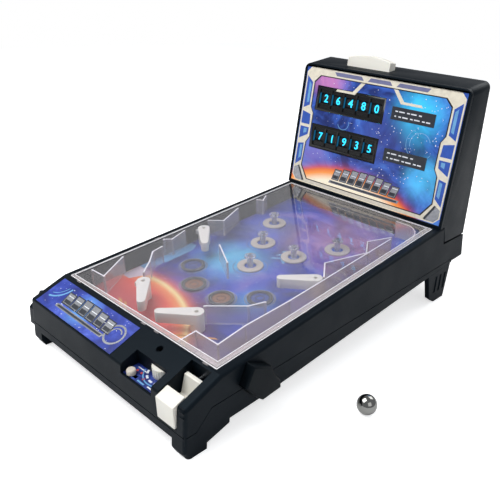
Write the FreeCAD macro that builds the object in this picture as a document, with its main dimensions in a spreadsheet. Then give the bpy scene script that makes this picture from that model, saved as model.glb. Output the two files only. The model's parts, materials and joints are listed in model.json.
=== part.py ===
import FreeCAD, Part
import math
import os
import re
import Sketcher

# Tabletop pinball game: a sloping case on two front feet and two rear legs, a play well under
# a clear cover, sprung flipper buttons, a pull launcher and an upright backbox with score drums.
# Millimetres. X to the right, Y to the back, Z up. The origin is on the table, at the middle
# of the case. "Deck" sizes are measured along the sloping top, from its front break.

SIZES = {
    # Case outline
    "case_width": 240,
    "case_depth": 464,
    "front_height": 49.5,
    "break_run": 37.5,
    "break_rise": 15.4,
    "deck_angle": 5.95,
    "deck_end_inset": 66.1,
    "wall": 2.5,
    "rail_round": 3.2,
    "ledge_inset": 59,
    "ledge_height": 79,
    "tail_top_inset": 7,
    "tail_low_height": 49,
    "tail_under_inset": 25,
    "tail_under_height": 48,
    # Joint line between the two halves of the case
    "seam_front_height": 23.5,
    "seam_nose_run": 12,
    "seam_bend_run": 28,
    "seam_bend_height": 39.5,
    "seam_rear_height": 52,
    "seam_groove": 0.8,
    # Lower half
    "tray_front_height": 15.5,
    "tray_bend_run": 90,
    "tray_bend_height": 18.5,
    "tray_inset": 27,
    "tray_rear_height": 46.5,
    "foot_width": 16,
    "foot_toe_run": 4,
    "foot_length": 20,
    "foot_bevel": 7,
    "foot_rib_start_height": 6.3,
    "foot_rib_length": 25,
    "foot_rib_end_height": 12.7,
    "leg_thickness": 6,
    "leg_top_inset": 84,
    "leg_shoulder_inset": 73,
    "leg_shoulder_height": 9,
    "leg_toe_inset": 59,
    "leg_heel_inset": 35,
    "leg_back_inset": 30,
    "leg_flute_depth": 1.2,
    "leg_flute_width": 5,
    "leg_flute_rise": 14,
    "leg_flute_height": 22,
    # Screws and their bosses
    "boss_radius": 3.4,
    "boss_inset": 6.2,
    "boss_front_run": 130,
    "boss_rear_inset": 104,
    "screw_radius": 1.3,
    "screw_head_radius": 2.5,
    "screw_head_height": 1.6,
    "screw_grip": 6,
    # Play well
    "side_margin": 11.8,
    "well_front": 5.5,
    "well_end_margin": 15.8,
    "floor_depth": 23,
    "panel_thickness": 2,
    "well_floor": 2,
    "well_wall": 2,
    "cover_lap": 3,
    "cover_thickness": 2,
    "guide_wall": 1.6,
    "guide_bead": 1.1,
    "bumper_radius": 15,
    "bumper_bore": 7,
    "bumper_height": 1.8,
    "post_radius": 3.6,
    "post_height": 14,
    "post_cap_radius": 6.6,
    "post_cap_height": 1.8,
    "bumper_screw_radius": 1.4,
    "bumper_screw_head": 2.6,
    "bumper_screw_head_height": 1.8,
    "dish_radius": 14,
    "dish_rim": 3.4,
    "dish_height": 1.6,
    "lens_height": 0.8,
    "lamp_radius": 2.5,
    "lamp_length": 7,
    "lamp_collar": 3.2,
    # Flippers
    "flipper_hub_radius": 7,
    "flipper_tip_radius": 4.2,
    "flipper_length": 36,
    "flipper_blade_height": 11,
    "flipper_droop_angle": 40,
    "flipper_swing_angle": 50,
    "flipper_pocket_radius": 2.2,
    "flipper_pocket_depth": 3,
    "tail_length": 5.5,
    "tail_thickness": 5,
    "shaft_radius": 3,
    "crank_radius": 7.1,
    "crank_thickness": 3,
    "crank_hub_radius": 5.5,
    "crank_web": 5,
    "pin_radius": 1.6,
    "pin_length": 4.5,
    "lower_left_hub_share": -0.453,
    "lower_right_hub_share": 0.314,
    "lower_hub_run": 48,
    "upper_left_hub_inset": 13.2,
    "upper_right_hub_inset": 30.2,
    "upper_hub_share": 0.485,
    # Buttons and their push bars
    "button_length": 45,
    "button_height": 43.3,
    "button_proud": 9,
    "button_gap": 0.5,
    "button_round": 2.4,
    "button_travel": 6,
    "right_button_run": 18.3,
    "left_button_run": -35,
    "right_button_top": 2.9,
    "left_button_top": 12,
    "shank_length": 16,
    "left_spring_run": -12,
    "right_spring_run": 78,
    "bar_thickness": 2.5,
    "bar_width": 10,
    "bar_inset": 21,
    "return_spring_radius": 3,
    "return_spring_bore": 2,
    "return_spring_length": 14,
    "spring_post_thickness": 3,
    "spring_post_width": 8,
    # Launcher
    "slot_left_inset": 34.2,
    "slot_right_inset": 9.8,
    "slot_floor_depth": 34.2,
    "slot_back_run": -2,
    "lever_gap": 1.2,
    "lever_floor_gap": 0.4,
    "lever_front_run": -42.5,
    "lever_block_run": -29.5,
    "lever_front_depth": 12.6,
    "lever_block_depth": 8.7,
    "lever_trough_depth": 24.4,
    "lever_rear_run": -17,
    "lever_back_run": -8,
    "lever_rear_depth": 8,
    "lever_rear_wall": 4,
    "lever_leg_length": 8,
    "launcher_post_run": 18,
    "launcher_travel": 18,
    "rod_radius": 3,
    "rod_depth": 13.5,
    "rod_end_run": 25,
    "rod_gap": 0.3,
    "launcher_spring_radius": 2.4,
    "launcher_spring_bore": 1.6,
    # Selector recess
    "recess_left_inset": 85.4,
    "recess_right_inset": 43,
    "recess_back_run": -20.7,
    "recess_depth": 20.5,
    "legend_thickness": 0.4,
    "wheel_inset": 57,
    "wheel_run": -14.9,
    "wheel_radius": 10,
    "wheel_height": 9.6,
    "wheel_gap": 0.4,
    "wheel_pin_radius": 1.5,
    "wheel_groove_radius": 0.7,
    "knob_inset": 77.5,
    "knob_run": -34,
    "knob_radius": 4.2,
    "knob_height": 5,
    "knob_stem_radius": 1.5,
    "knob_travel": 6,
    "front_hole_inset": 68,
    "front_hole_run": -9.5,
    "front_hole_radius": 3.3,
    "front_hole_depth": 5.6,
    "apron_panel_left_inset": 8.6,
    "apron_panel_right_inset": 103,
    "apron_panel_start": 1.4,
    "apron_panel_end": 36.4,
    # Power and sound
    "cell_radius": 7.1,
    "cell_length": 50,
    "cell_pitch": 15,
    "cell_count": 3,
    "cell_tip_radius": 2.6,
    "cell_tip_length": 1.2,
    "bay_run": 110,
    "bay_end_gap": 2.2,
    "door_thickness": 2,
    "door_lap": 3,
    "fit_gap": 0.3,
    "speaker_radius": 20,
    "speaker_height": 11,
    "speaker_inset": 47,
    "speaker_side_inset": 45,
    "speaker_lip": 3,
    "board_length": 70,
    "board_width": 90,
    "board_thickness": 1.6,
    "board_inset": 95,
    "board_stand": 5,
    "chip_length": 16,
    "chip_height": 3,
    # Backbox, measured up its face and back from it
    "lean_angle": 6.2,
    "backbox_foot_inset": 9.2,
    "backbox_face_height": 165.2,
    "backbox_top_depth": 44.2,
    "backbox_top_rise": 10.3,
    "backbox_slot": 2.5,
    "backbox_round": 8,
    "bezel_depth": 5,
    "backbox_floor_rise": 1.4,
    "bezel_rim": 4,
    "glass_thickness": 2,
    "glass_inset": 0.8,
    "window_left_inset": 26,
    "window_length": 107,
    "window_height": 32,
    "upper_window_drop": 59.7,
    "lower_window_drop": 110.2,
    "window_frame": 4,
    "window_depth": 3.5,
    "drum_pitch": 20,
    "drum_width": 17,
    "drum_radius": 20,
    "drum_gap": 0.6,
    "drum_wall": 1.6,
    "drum_hub_radius": 4,
    "axle_radius": 2,
    "axle_bracket": 1.6,
    "label_gap": 11,
    "label_inset": 37,
    "label_height": 15.5,
    "upper_label_drop": 50.7,
    "lower_label_drop": 102.2,
    "label_thickness": 0.5,
    "reset_left_x": -64,
    "reset_right_x": 0,
    "reset_depth": 22.7,
    "reset_width": 13,
    "reset_end_height": 9,
    "reset_middle_height": 14,
    "reset_travel": 4,
    "reset_collar": 1.6,
    "reset_stem_radius": 3,
    "reset_stem_length": 14,
    "reset_shelf_drop": 19,
    "reset_spring_radius": 4.2,
    "reset_spring_bore": 3.3,
    # Ball lying on the table
    "ball_radius": 9.525,
    "ball_x": 184.7,
    "ball_run": 159.7,
    # One overrun for every cut
    "overrun": 30,
    "running_gap": 0.08,
}

# Places that follow the case's outline, as formulas of the sizes
FOLLOWING = {
    "ledge_run": "case_depth - ledge_inset",
    "tail_top_run": "case_depth - tail_top_inset",
    "tail_under_run": "case_depth - tail_under_inset",
    "tray_length": "case_depth - tray_inset",
    "leg_top_run": "case_depth - leg_top_inset",
    "leg_shoulder_run": "case_depth - leg_shoulder_inset",
    "leg_toe_run": "case_depth - leg_toe_inset",
    "leg_heel_run": "case_depth - leg_heel_inset",
    "leg_back_run": "case_depth - leg_back_inset",
    "deck_length": "(case_depth - deck_end_inset - break_run) / cos(deck_angle * 1 deg)",
    "backbox_foot_run": "deck_length - backbox_foot_inset",
    "well_length": "deck_length - well_front - well_end_margin",
    "well_half": "case_width / 2 - side_margin",
    "boss_rear_run": "case_depth - boss_rear_inset",
    "boss_middle_run": "(boss_front_run + boss_rear_run) / 2",
    "lower_left_hub_x": "well_half * lower_left_hub_share",
    "lower_right_hub_x": "well_half * lower_right_hub_share",
    "upper_left_hub_x": "upper_left_hub_inset - well_half",
    "upper_right_hub_x": "well_half - upper_right_hub_inset",
    "upper_hub_run": "well_front + well_length * upper_hub_share",
    "bar_offset_x": "case_width / 2 - bar_inset",
    "slot_left_x": "case_width / 2 - slot_left_inset",
    "slot_right_x": "case_width / 2 - slot_right_inset",
    "recess_left_x": "case_width / 2 - recess_left_inset",
    "recess_right_x": "case_width / 2 - recess_right_inset",
    "wheel_x": "case_width / 2 - wheel_inset",
    "knob_x": "case_width / 2 - knob_inset",
    "front_hole_x": "case_width / 2 - front_hole_inset",
    "apron_panel_left_x": "apron_panel_left_inset - case_width / 2",
    "apron_panel_right_x": "case_width / 2 - apron_panel_right_inset",
    "speaker_x": "case_width / 2 - speaker_side_inset",
    "speaker_run": "tray_length - tray_bend_run - speaker_inset",
    "board_run": "tray_length - tray_bend_run - board_inset",
    "window_left_x": "window_left_inset - case_width / 2",
    "window_right_x": "window_left_x + window_length",
    "upper_window_low": "backbox_face_height - upper_window_drop",
    "lower_window_low": "backbox_face_height - lower_window_drop",
    "label_left_x": "window_right_x + label_gap",
    "label_right_x": "case_width / 2 - label_inset",
    "upper_label_low": "backbox_face_height - upper_label_drop",
    "lower_label_low": "backbox_face_height - lower_label_drop",
}

# Shares of the well's half width and length, from its middle and its front
BUMPER_SHARES = ((-0.13, 0.476), (0.086, 0.617), (-0.386, 0.623), (-0.633, 0.768), (0.333, 0.758))
DISH_SHARES = ((-0.582, 0.35), (-0.287, 0.274), (0.102, 0.276), (0.375, 0.355))
LANE_WALL_SHARES = (
    ((0.527, 0.006), (0.527, 0.063), (0.795, 0.063), (0.776, 0.166), (0.8, 0.336), (0.808, 0.852)),
    ((0.77, 0.505), (0.609, 0.574), (0.805, 0.723)),
    ((0.807, 0.71), (0.66, 0.785), (0.79, 0.864)),
)
ARCH_START_SHARES = (0.623, 0.985)
ARCH_CENTRE_SHARES = (0.76, 0.87)
ARCH_END_SHARE = 0.985
LEFT_GUIDE_SHARES = (
    ((-0.985, 0.057), (-0.8, 0.06), (-0.985, 0.169)),
    ((-0.985, 0.335), (-0.924, 0.355), (-0.985, 0.425)),
    ((-0.985, 0.538), (-0.85, 0.573), (-0.975, 0.682)),
    ((-0.985, 0.79), (-0.915, 0.802), (-0.985, 0.84)),
    ((-0.87, 0.298), (-0.85, 0.256), (-0.711, 0.21), (-0.582, 0.157)),
)
FLIPPER_GUIDE_SHARES = (
    ((0.3, 0.157), (0.586, 0.239), (0.652, 0.286)),
    ((-0.45, 0.435), (-0.12, 0.371)),
)
# Shares of a button's length and height, round its outline from the front top
BUTTON_SHARES = ((0.22, 1.0), (0.71, 0.71), (0.79, 0.46), (0.96, 0.2), (0.97, 0.0), (0.45, 0.01),
                 (0.31, 0.155), (0.0, 0.58))
LEFT_BUTTON_HEIGHT_SHARE = 0.72
RESET_ARCH_SHARES = (0.12, 0.3, 0.5, 0.7, 0.88)
ARCH_STEPS = 7
WHEEL_RIBS = 24
DRUM_COUNT = 5

doc = FreeCAD.newDocument("Pinball")
sheet = doc.addObject("Spreadsheet::Sheet", "Sizes")
for row, (alias, value) in enumerate(SIZES.items(), start=1):
    sheet.set("A%d" % row, alias)
    sheet.set("B%d" % row, str(value))
    sheet.setAlias("B%d" % row, alias)
doc.recompute()

NODES = []


def formula(text):
    """Point each size named in a formula at its cell, and write out each place that follows."""

    def named(word):
        name = word.group()
        if name in FOLLOWING:
            return "(%s)" % formula(FOLLOWING[name])
        return "Sizes." + name if name in SIZES else name

    return re.sub(r"[a-z_]+", named, str(text))


def bind(item, **formulas):
    """Tie an object's properties to formulas of named sizes."""
    for name, text in formulas.items():
        item.setExpression(name, formula(text))


def turned(angle):
    """Cosine and sine of an angle given by a formula in degrees."""
    return "cos((%s) * 1 deg)" % angle, "sin((%s) * 1 deg)" % angle


class Frame:
    """A plane tilted about X, in which a piece is drawn: its base and its tilt."""

    def __init__(self, run, height, angle):
        self.run = "(%s)" % run
        self.height = "(%s)" % height
        self.angle = "(%s)" % angle
        self.cos, self.sin = turned(angle)

    def local(self, run, height):
        """A point of the machine, by its run and height, as a point of this frame."""
        along = "((%s) - %s)" % (run, self.run)
        up = "((%s) - %s)" % (height, self.height)
        return ("(%s * %s + %s * %s)" % (along, self.cos, up, self.sin),
                "(%s * %s - %s * %s)" % (up, self.cos, along, self.sin))

    def machine(self, along, up):
        """A point of this frame as run and height on the machine."""
        return ("(%s + (%s) * %s - (%s) * %s)" % (self.run, along, self.cos, up, self.sin),
                "(%s + (%s) * %s + (%s) * %s)" % (self.height, along, self.sin, up, self.cos))

    def place(self, item):
        """Set a finished piece on this frame, with the origin at the middle of the case."""
        item.Placement = FreeCAD.Placement(FreeCAD.Vector(), FreeCAD.Rotation(FreeCAD.Vector(1, 0, 0), 1))
        item.setExpression("Placement.Base.y", formula("%s - case_depth / 2" % self.run))
        item.setExpression("Placement.Base.z", formula(self.height))
        item.setExpression("Placement.Rotation.Angle", formula(self.angle))


MACHINE = Frame("0", "0", "0")
DECK = Frame("break_run", "front_height + break_rise", "deck_angle")
APRON = Frame("0", "front_height", "atan2(break_rise; break_run) / 1 deg")
TRAY_RISE = "(tray_rear_height - tray_bend_height)"
TRAY = Frame("tray_bend_run", "tray_bend_height",
             "atan2(%s; tray_length - tray_bend_run) / 1 deg" % TRAY_RISE)
BOX = Frame(DECK.machine("backbox_foot_run", "0")[0], DECK.machine("backbox_foot_run", "0")[1],
            "-lean_angle")


def finish(item, label, frame):
    """Name a finished piece, place it and list it as a node."""
    item.Label = label
    frame.place(item)
    NODES.append(item)
    return item


class Moulding:
    """A body built from sketches and pads, drawn in one frame."""

    def __init__(self, label, frame):
        self.body = doc.addObject("PartDesign::Body", "Body_" + label)
        finish(self.body, label, frame)

    def sketch(self, role, offset="0"):
        """A sketch on one of the body's own planes, moved along the plane's normal."""
        drawing = self.body.newObject("Sketcher::SketchObject", "Drawing")
        plane = [item for item in self.body.Origin.OriginFeatures if item.Role == role][0]
        drawing.AttachmentSupport = (plane, [""])
        drawing.MapMode = "FlatFace"
        drawing.setExpression("AttachmentOffset.Base.z", formula(offset))
        return drawing

    def feature(self, kind, drawing, length, both_ways):
        """A pad or pocket of a sketch."""
        item = self.body.newObject("PartDesign::" + kind, kind)
        item.Profile = drawing
        item.SideType = "Symmetric" if both_ways else "One side"
        item.setExpression("Length", formula(length))
        return item

    def pad(self, role, outlines, length, offset="0", both_ways=False):
        """Add material on outlines or circles drawn on a plane."""
        drawing = self.sketch(role, offset)
        draw(drawing, outlines)
        return self.feature("Pad", drawing, length, both_ways)

    def pocket(self, role, outlines, length, offset="0", both_ways=False):
        """Cut outlines or circles drawn on a plane; one way is against its normal."""
        drawing = self.sketch(role, offset)
        draw(drawing, outlines)
        return self.feature("Pocket", drawing, length, both_ways)

    def round(self, radius, chosen):
        """Round the edges that a test picks by the places of their ends."""
        doc.recompute()
        base = self.body.Tip
        names = ["Edge%d" % number for number, edge in enumerate(base.Shape.Edges, start=1)
                 if chosen(edge.Vertexes[0].Point, edge.Vertexes[-1].Point)]
        item = self.body.newObject("PartDesign::Fillet", "Fillet")
        item.Base = (base, names)
        item.setExpression("Radius", formula(radius))


def hold(drawing, shape, point, values, kinds):
    """Hold a point of a sketch at formulas for its two places."""
    for kind, value in zip(kinds, values):
        number = drawing.addConstraint(Sketcher.Constraint(kind, -1, 1, shape, point, float(shape + 1)))
        drawing.setExpression("Constraints[%d]" % number, formula(value))


def draw(drawing, outlines):
    """Draw closed outlines (lists of points) and circles (a point and a radius)."""
    kinds = ("DistanceX", "DistanceY")
    for outline in outlines:
        if isinstance(outline, dict):
            circle = Part.Circle(FreeCAD.Vector(), FreeCAD.Vector(0, 0, 1), 1)
            shape = drawing.addGeometry(circle, False)
            hold(drawing, shape, 3, outline["at"], kinds)
            number = drawing.addConstraint(Sketcher.Constraint("Radius", shape, 1.0))
            drawing.setExpression("Constraints[%d]" % number, formula(outline["radius"]))
            continue
        first = drawing.GeometryCount
        count = len(outline)
        corners = [FreeCAD.Vector(step, step * step, 0) for step in range(count)]
        for step in range(count):
            line = Part.LineSegment(corners[step], corners[(step + 1) % count])
            drawing.addGeometry(line, False)
        for step in range(count):
            after = first + (step + 1) % count
            drawing.addConstraint(Sketcher.Constraint("Coincident", first + step, 2, after, 1))
        for step, values in enumerate(outline):
            hold(drawing, first + step, 1, values, kinds)


def circle(x, y, radius):
    """A circle for a sketch."""
    return {"at": (x, y), "radius": radius}


def rectangle(low_x, low_y, high_x, high_y):
    """A closed rectangle for a sketch, by two corners."""
    return [(low_x, low_y), (high_x, low_y), (high_x, high_y), (low_x, high_y)]


def cylinder(x, y, z, radius, height):
    """A round piece standing along its frame's third axis."""
    item = doc.addObject("Part::Cylinder", "Round")
    bind(item, Radius=radius, Height=height)
    for axis, value in zip("xyz", (x, y, z)):
        item.setExpression("Placement.Base." + axis, formula(value))
    return item


def lying(x, y, z, radius, length):
    """A round piece lying along X from a low end."""
    item = cylinder(x, y, z, radius, length)
    item.Placement = FreeCAD.Placement(item.Placement.Base, FreeCAD.Rotation(FreeCAD.Vector(0, 1, 0), 90))
    return item


def block(x, y, z, length, width, height):
    """A box from its low corner."""
    item = doc.addObject("Part::Box", "Block")
    bind(item, Length=length, Width=width, Height=height)
    for axis, value in zip("xyz", (x, y, z)):
        item.setExpression("Placement.Base." + axis, formula(value))
    return item


def cut(base, tool):
    """One shape less another."""
    item = doc.addObject("Part::Cut", "Less")
    item.Base = base
    item.Tool = tool
    return item


def fuse(shapes):
    """Several shapes joined into one."""
    item = doc.addObject("Part::MultiFuse", "Joined")
    item.Shapes = shapes
    return item


def group(shapes):
    """Several separate solids that share a node."""
    item = doc.addObject("Part::Compound", "Group")
    item.Links = shapes
    return item


def tube(maker, place, radius, bore, length):
    """A hollow round piece."""
    return cut(maker(*place, radius, length), maker(*place, bore, length))


WELL_OUT = "(well_half + well_wall)"
WELL_BACK = "(well_front + well_length)"
FLOOR_TOP = "-floor_depth"
PANEL_UNDER = "(-floor_depth - panel_thickness)"
WELL_UNDER = "(-floor_depth - panel_thickness - well_floor)"
SEAM_SLOPE = "((seam_rear_height - seam_bend_height) / (case_depth - seam_bend_run))"
ROD_X = "((slot_left_x + slot_right_x) / 2)"
CRANK_TOP = "(%s - running_gap - fit_gap)" % WELL_UNDER
CRANK_UNDER = "(%s - crank_thickness)" % CRANK_TOP
BAR_TOP = "(%s - fit_gap)" % CRANK_UNDER
BAR_UNDER = "(%s - bar_thickness)" % BAR_TOP


def well_point(shares):
    """A point of the well floor by its shares of the half width and the length."""
    return "(%s * well_half)" % shares[0], "(well_front + %s * well_length)" % shares[1]


def front_run(depth, height):
    """Run along the deck of a point at a depth behind the front face and a height off the deck."""
    return "(((%s) - break_run + (%s) * %s) / %s)" % (depth, height, DECK.sin, DECK.cos)


def hubs():
    """The four flippers: name, hub place, side and whether it has a tail."""
    return (
        ("lower_left", "lower_left_hub_x", "lower_hub_run", -1, True),
        ("lower_right", "lower_right_hub_x", "lower_hub_run", 1, False),
        ("upper_left", "upper_left_hub_x", "upper_hub_run", -1, True),
        ("upper_right", "upper_right_hub_x", "upper_hub_run", 1, False),
    )


BUTTONS = (("left", -1, "left_button_run", "left_button_top", LEFT_BUTTON_HEIGHT_SHARE),
           ("right", 1, "right_button_run", "right_button_top", 1))


SIDE_CUT = {-1: "-case_width / 2 + wall + fit_gap", 1: "case_width / 2 + wall"}


def button_outline(run, top, share, gap):
    """Outline of a flipper button on the case's side, widened all round by a gap."""
    height = "(button_height * %s)" % share
    return [("(%s - %s + %s * (button_length + 2 * %s))" % (run, gap, along, gap),
             "(-%s - %s - %s + %s * (%s + 2 * %s))" % (top, height, gap, up, height, gap))
            for along, up in BUTTON_SHARES]


def seam_height(run):
    """Height of the joint line between the halves, at a run behind its bend."""
    return "(seam_bend_height + ((%s) - seam_bend_run) * %s)" % (run, SEAM_SLOPE)


def boss_places(frame, lift):
    """Places of the case screws on the joint line, in a frame: X, run and height."""
    places = []
    for run in ("boss_front_run", "boss_middle_run", "boss_rear_run"):
        along, up = frame.local(run, "%s + %s" % (seam_height(run), lift))
        places += [("%d * (case_width / 2 - boss_inset)" % side, along, up) for side in (-1, 1)]
    return places


def upper_case():
    """Upper half of the case: a shell with the well, the launcher slot and the recess moulded in."""
    case = Moulding("upper_case", DECK)
    outer = [DECK.local("0", "seam_front_height"), DECK.local("0", "front_height"), ("0", "0"),
             ("deck_length", "0"), DECK.local("ledge_run", "ledge_height"),
             DECK.local("tail_top_run", "ledge_height"), DECK.local("case_depth", "tail_low_height"),
             DECK.local("tail_under_run", "tail_under_height"),
             DECK.local("tray_length", seam_height("tray_length")),
             DECK.local("seam_bend_run", "seam_bend_height"),
             DECK.local("seam_nose_run", "seam_front_height")]
    case.pad("YZ_Plane", [outer], "case_width", both_ways=True)
    doc.recompute()
    half = sheet.case_width / 2

    def on_side(point):
        return abs(abs(point.x) - half) < sheet.fit_gap

    def at_front(point):
        cos, sin = math.cos(math.radians(sheet.deck_angle)), math.sin(math.radians(sheet.deck_angle))
        return abs(sheet.break_run + point.y * cos - point.z * sin) < sheet.fit_gap

    def outer_edge(one, two):
        same_side = on_side(one) and on_side(two) and one.x * two.x > 0
        rail = max(one.z, two.z) < sheet.fit_gap and min(one.z, two.z) > -sheet.break_rise and one.y != two.y
        upright = at_front(one) and at_front(two)
        lip = upright and abs(one.z - two.z) < sheet.fit_gap and max(one.z, two.z) > -sheet.break_rise
        return same_side and (rail or upright) or lip

    case.round("rail_round", outer_edge)

    inner = [DECK.local("wall", "-overrun"), DECK.local("wall", "front_height - wall"),
             ("wall * tan(%s / 2 * 1 deg)" % "(%s - deck_angle)" % APRON.angle, "-wall"),
             ("deck_length - wall", "-wall"), DECK.local("ledge_run - wall", "ledge_height - wall"),
             DECK.local("tail_top_run - wall", "ledge_height - wall"),
             DECK.local("case_depth - wall", "tail_low_height + wall"),
             DECK.local("tail_under_run", "tail_under_height + wall"),
             DECK.local("tray_length - wall", "seam_rear_height"), DECK.local("tray_length - wall", "-overrun")]
    case.pocket("YZ_Plane", [inner], "case_width - 2 * wall", both_ways=True)

    tub = rectangle("-%s" % WELL_OUT, "well_front - well_wall", WELL_OUT, "%s + well_wall" % WELL_BACK)
    case.pad("XY_Plane", [tub], "-%s - wall / 2" % WELL_UNDER, WELL_UNDER)
    slot_under = "(-slot_floor_depth - well_wall)"
    slot_block = [(front_run("wall / 2", slot_under), slot_under),
                  ("slot_back_run + well_wall", slot_under),
                  ("slot_back_run + well_wall", "-wall / 2"), DECK.local("wall / 2", "front_height - wall / 2")]
    case.pad("YZ_Plane", [slot_block], "slot_right_x - slot_left_x + 2 * well_wall", "slot_left_x - well_wall")
    recess_under = "(-recess_depth - well_wall)"
    recess_block = [(front_run("wall / 2", recess_under), recess_under),
                    ("wheel_run + wheel_radius", recess_under), ("wheel_run + wheel_radius", "-recess_depth"),
                    ("recess_back_run + well_wall", "-recess_depth"),
                    ("recess_back_run + well_wall", "-break_rise / 2"),
                    DECK.local("wall / 2", "front_height - wall / 2")]
    case.pad("YZ_Plane", [recess_block], "recess_right_x - recess_left_x + 2 * well_wall",
             "recess_left_x - well_wall")
    bosses = boss_places(DECK, "fit_gap")
    for x, along, up in bosses:
        case.pad("XY_Plane", [circle(x, along, "boss_radius")], "-wall / 2 - %s" % up, up)

    case.pocket("XY_Plane", [rectangle("-well_half", "well_front", "well_half", WELL_BACK)],
                "overrun - %s" % PANEL_UNDER, "overrun")
    seat = rectangle("-(well_half + cover_lap + fit_gap)", "well_front - cover_lap - fit_gap",
                     "well_half + cover_lap + fit_gap", "%s + cover_lap + fit_gap" % WELL_BACK)
    case.pocket("XY_Plane", [seat], "overrun + cover_thickness", "overrun")
    case.pocket("XY_Plane", [rectangle("slot_left_x", "-break_run - overrun", "slot_right_x", "slot_back_run")],
                "overrun + slot_floor_depth", "overrun")
    case.pocket("XY_Plane", [rectangle("recess_left_x", "-break_run - overrun", "recess_right_x",
                                       "recess_back_run")], "overrun + recess_depth", "overrun")
    wheel_slot = rectangle("wheel_x - wheel_radius - wheel_gap", "recess_back_run - wall",
                           "wheel_x + wheel_radius + wheel_gap", "recess_back_run + 2 * well_wall")
    case.pocket("XY_Plane", [wheel_slot], "wheel_height + 2 * wheel_gap",
                "-recess_depth + wheel_height + 2 * wheel_gap")
    knob_slot = rectangle("knob_x - knob_stem_radius - fit_gap", "knob_run - knob_stem_radius - fit_gap",
                          "knob_x + knob_travel + knob_stem_radius + fit_gap",
                          "knob_run + knob_stem_radius + fit_gap")
    lever_slot = rectangle(ROD_X + " - wheel_pin_radius - fit_gap",
                           "lever_back_run - launcher_travel - 2 * rod_radius - fit_gap",
                           ROD_X + " + wheel_pin_radius + fit_gap", "lever_back_run + fit_gap")
    case.pocket("XY_Plane", [knob_slot, lever_slot], "slot_floor_depth + overrun", "-recess_depth + wall")
    case.pocket("XY_Plane", [circle("front_hole_x", "front_hole_run", "front_hole_radius")],
                "overrun + front_hole_depth", "overrun")
    case.pocket("XZ_Plane", [circle(ROD_X, "-rod_depth", "rod_radius + rod_gap")], "overrun",
                "-(slot_back_run - wall)")
    shafts = [circle(x, run, "shaft_radius + running_gap") for name, x, run, side, tail in hubs()]
    lamps = [circle(*well_point(shares), "lamp_radius + fit_gap") for shares in DISH_SHARES]
    screws = [circle(*well_point(shares), "bumper_screw_radius + fit_gap") for shares in BUMPER_SHARES]
    case.pocket("XY_Plane", shafts + lamps + screws, "well_floor * 3", "%s + well_floor" % PANEL_UNDER)
    for name, side, run, top, share in BUTTONS:
        case.pocket("YZ_Plane", [button_outline(run, top, share, "button_gap")], "wall * 2 + fit_gap",
                    SIDE_CUT[side])
    for x, along, up in bosses:
        case.pocket("XY_Plane", [circle(x, along, "screw_radius + fit_gap")], "overrun",
                    "%s + screw_grip + fit_gap" % up)
    post = rectangle("launcher_post_run", "-slot_floor_depth - lever_leg_length - launcher_spring_radius",
                     "launcher_post_run + wall", WELL_UNDER)
    case.pad("YZ_Plane", [post], "2 * launcher_spring_radius", "%s - launcher_spring_radius" % ROD_X)
    pin = [circle("wheel_x", "wheel_run", "wheel_pin_radius")]
    case.pad("XY_Plane", pin, "wheel_height + well_wall", "-recess_depth - well_wall")


BAY_HALF = "(cell_length / 2 + bay_end_gap)"
BAY_LENGTH = "(cell_count * cell_pitch)"
BAY_TOP = "(door_thickness + 2 * cell_radius + 2 * fit_gap)"


SPRING_END = "(bar_offset_x - bar_width / 2 - return_spring_length)"


def spring_post(name, side):
    """The post that a button's return spring bears on: its outline and its height."""
    middle = "(%s + bar_thickness / 2)" % BAR_UNDER
    along, up = TRAY.local(*DECK.machine(name + "_spring_run", "%s + return_spring_radius" % middle))
    far = "%d * (%s - spring_post_thickness)" % (side, SPRING_END)
    near = "%d * %s" % (side, SPRING_END)
    return rectangle(far, "%s - spring_post_width / 2" % along, near, "%s + spring_post_width / 2" % along), up


def bay_outline(margin):
    """Outline of the battery bay, widened by a margin."""
    return rectangle("-%s - %s" % (BAY_HALF, margin), "bay_run - %s" % margin, "%s + %s" % (BAY_HALF, margin),
                     "bay_run + %s + %s" % (BAY_LENGTH, margin))


def board_corners():
    """The four stands of the circuit board."""
    return [("%d * (board_width / 2 - 2 * boss_radius)" % side, "board_run + %s" % along)
            for side in (-1, 1) for along in ("2 * boss_radius", "board_length - 2 * boss_radius")]


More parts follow.
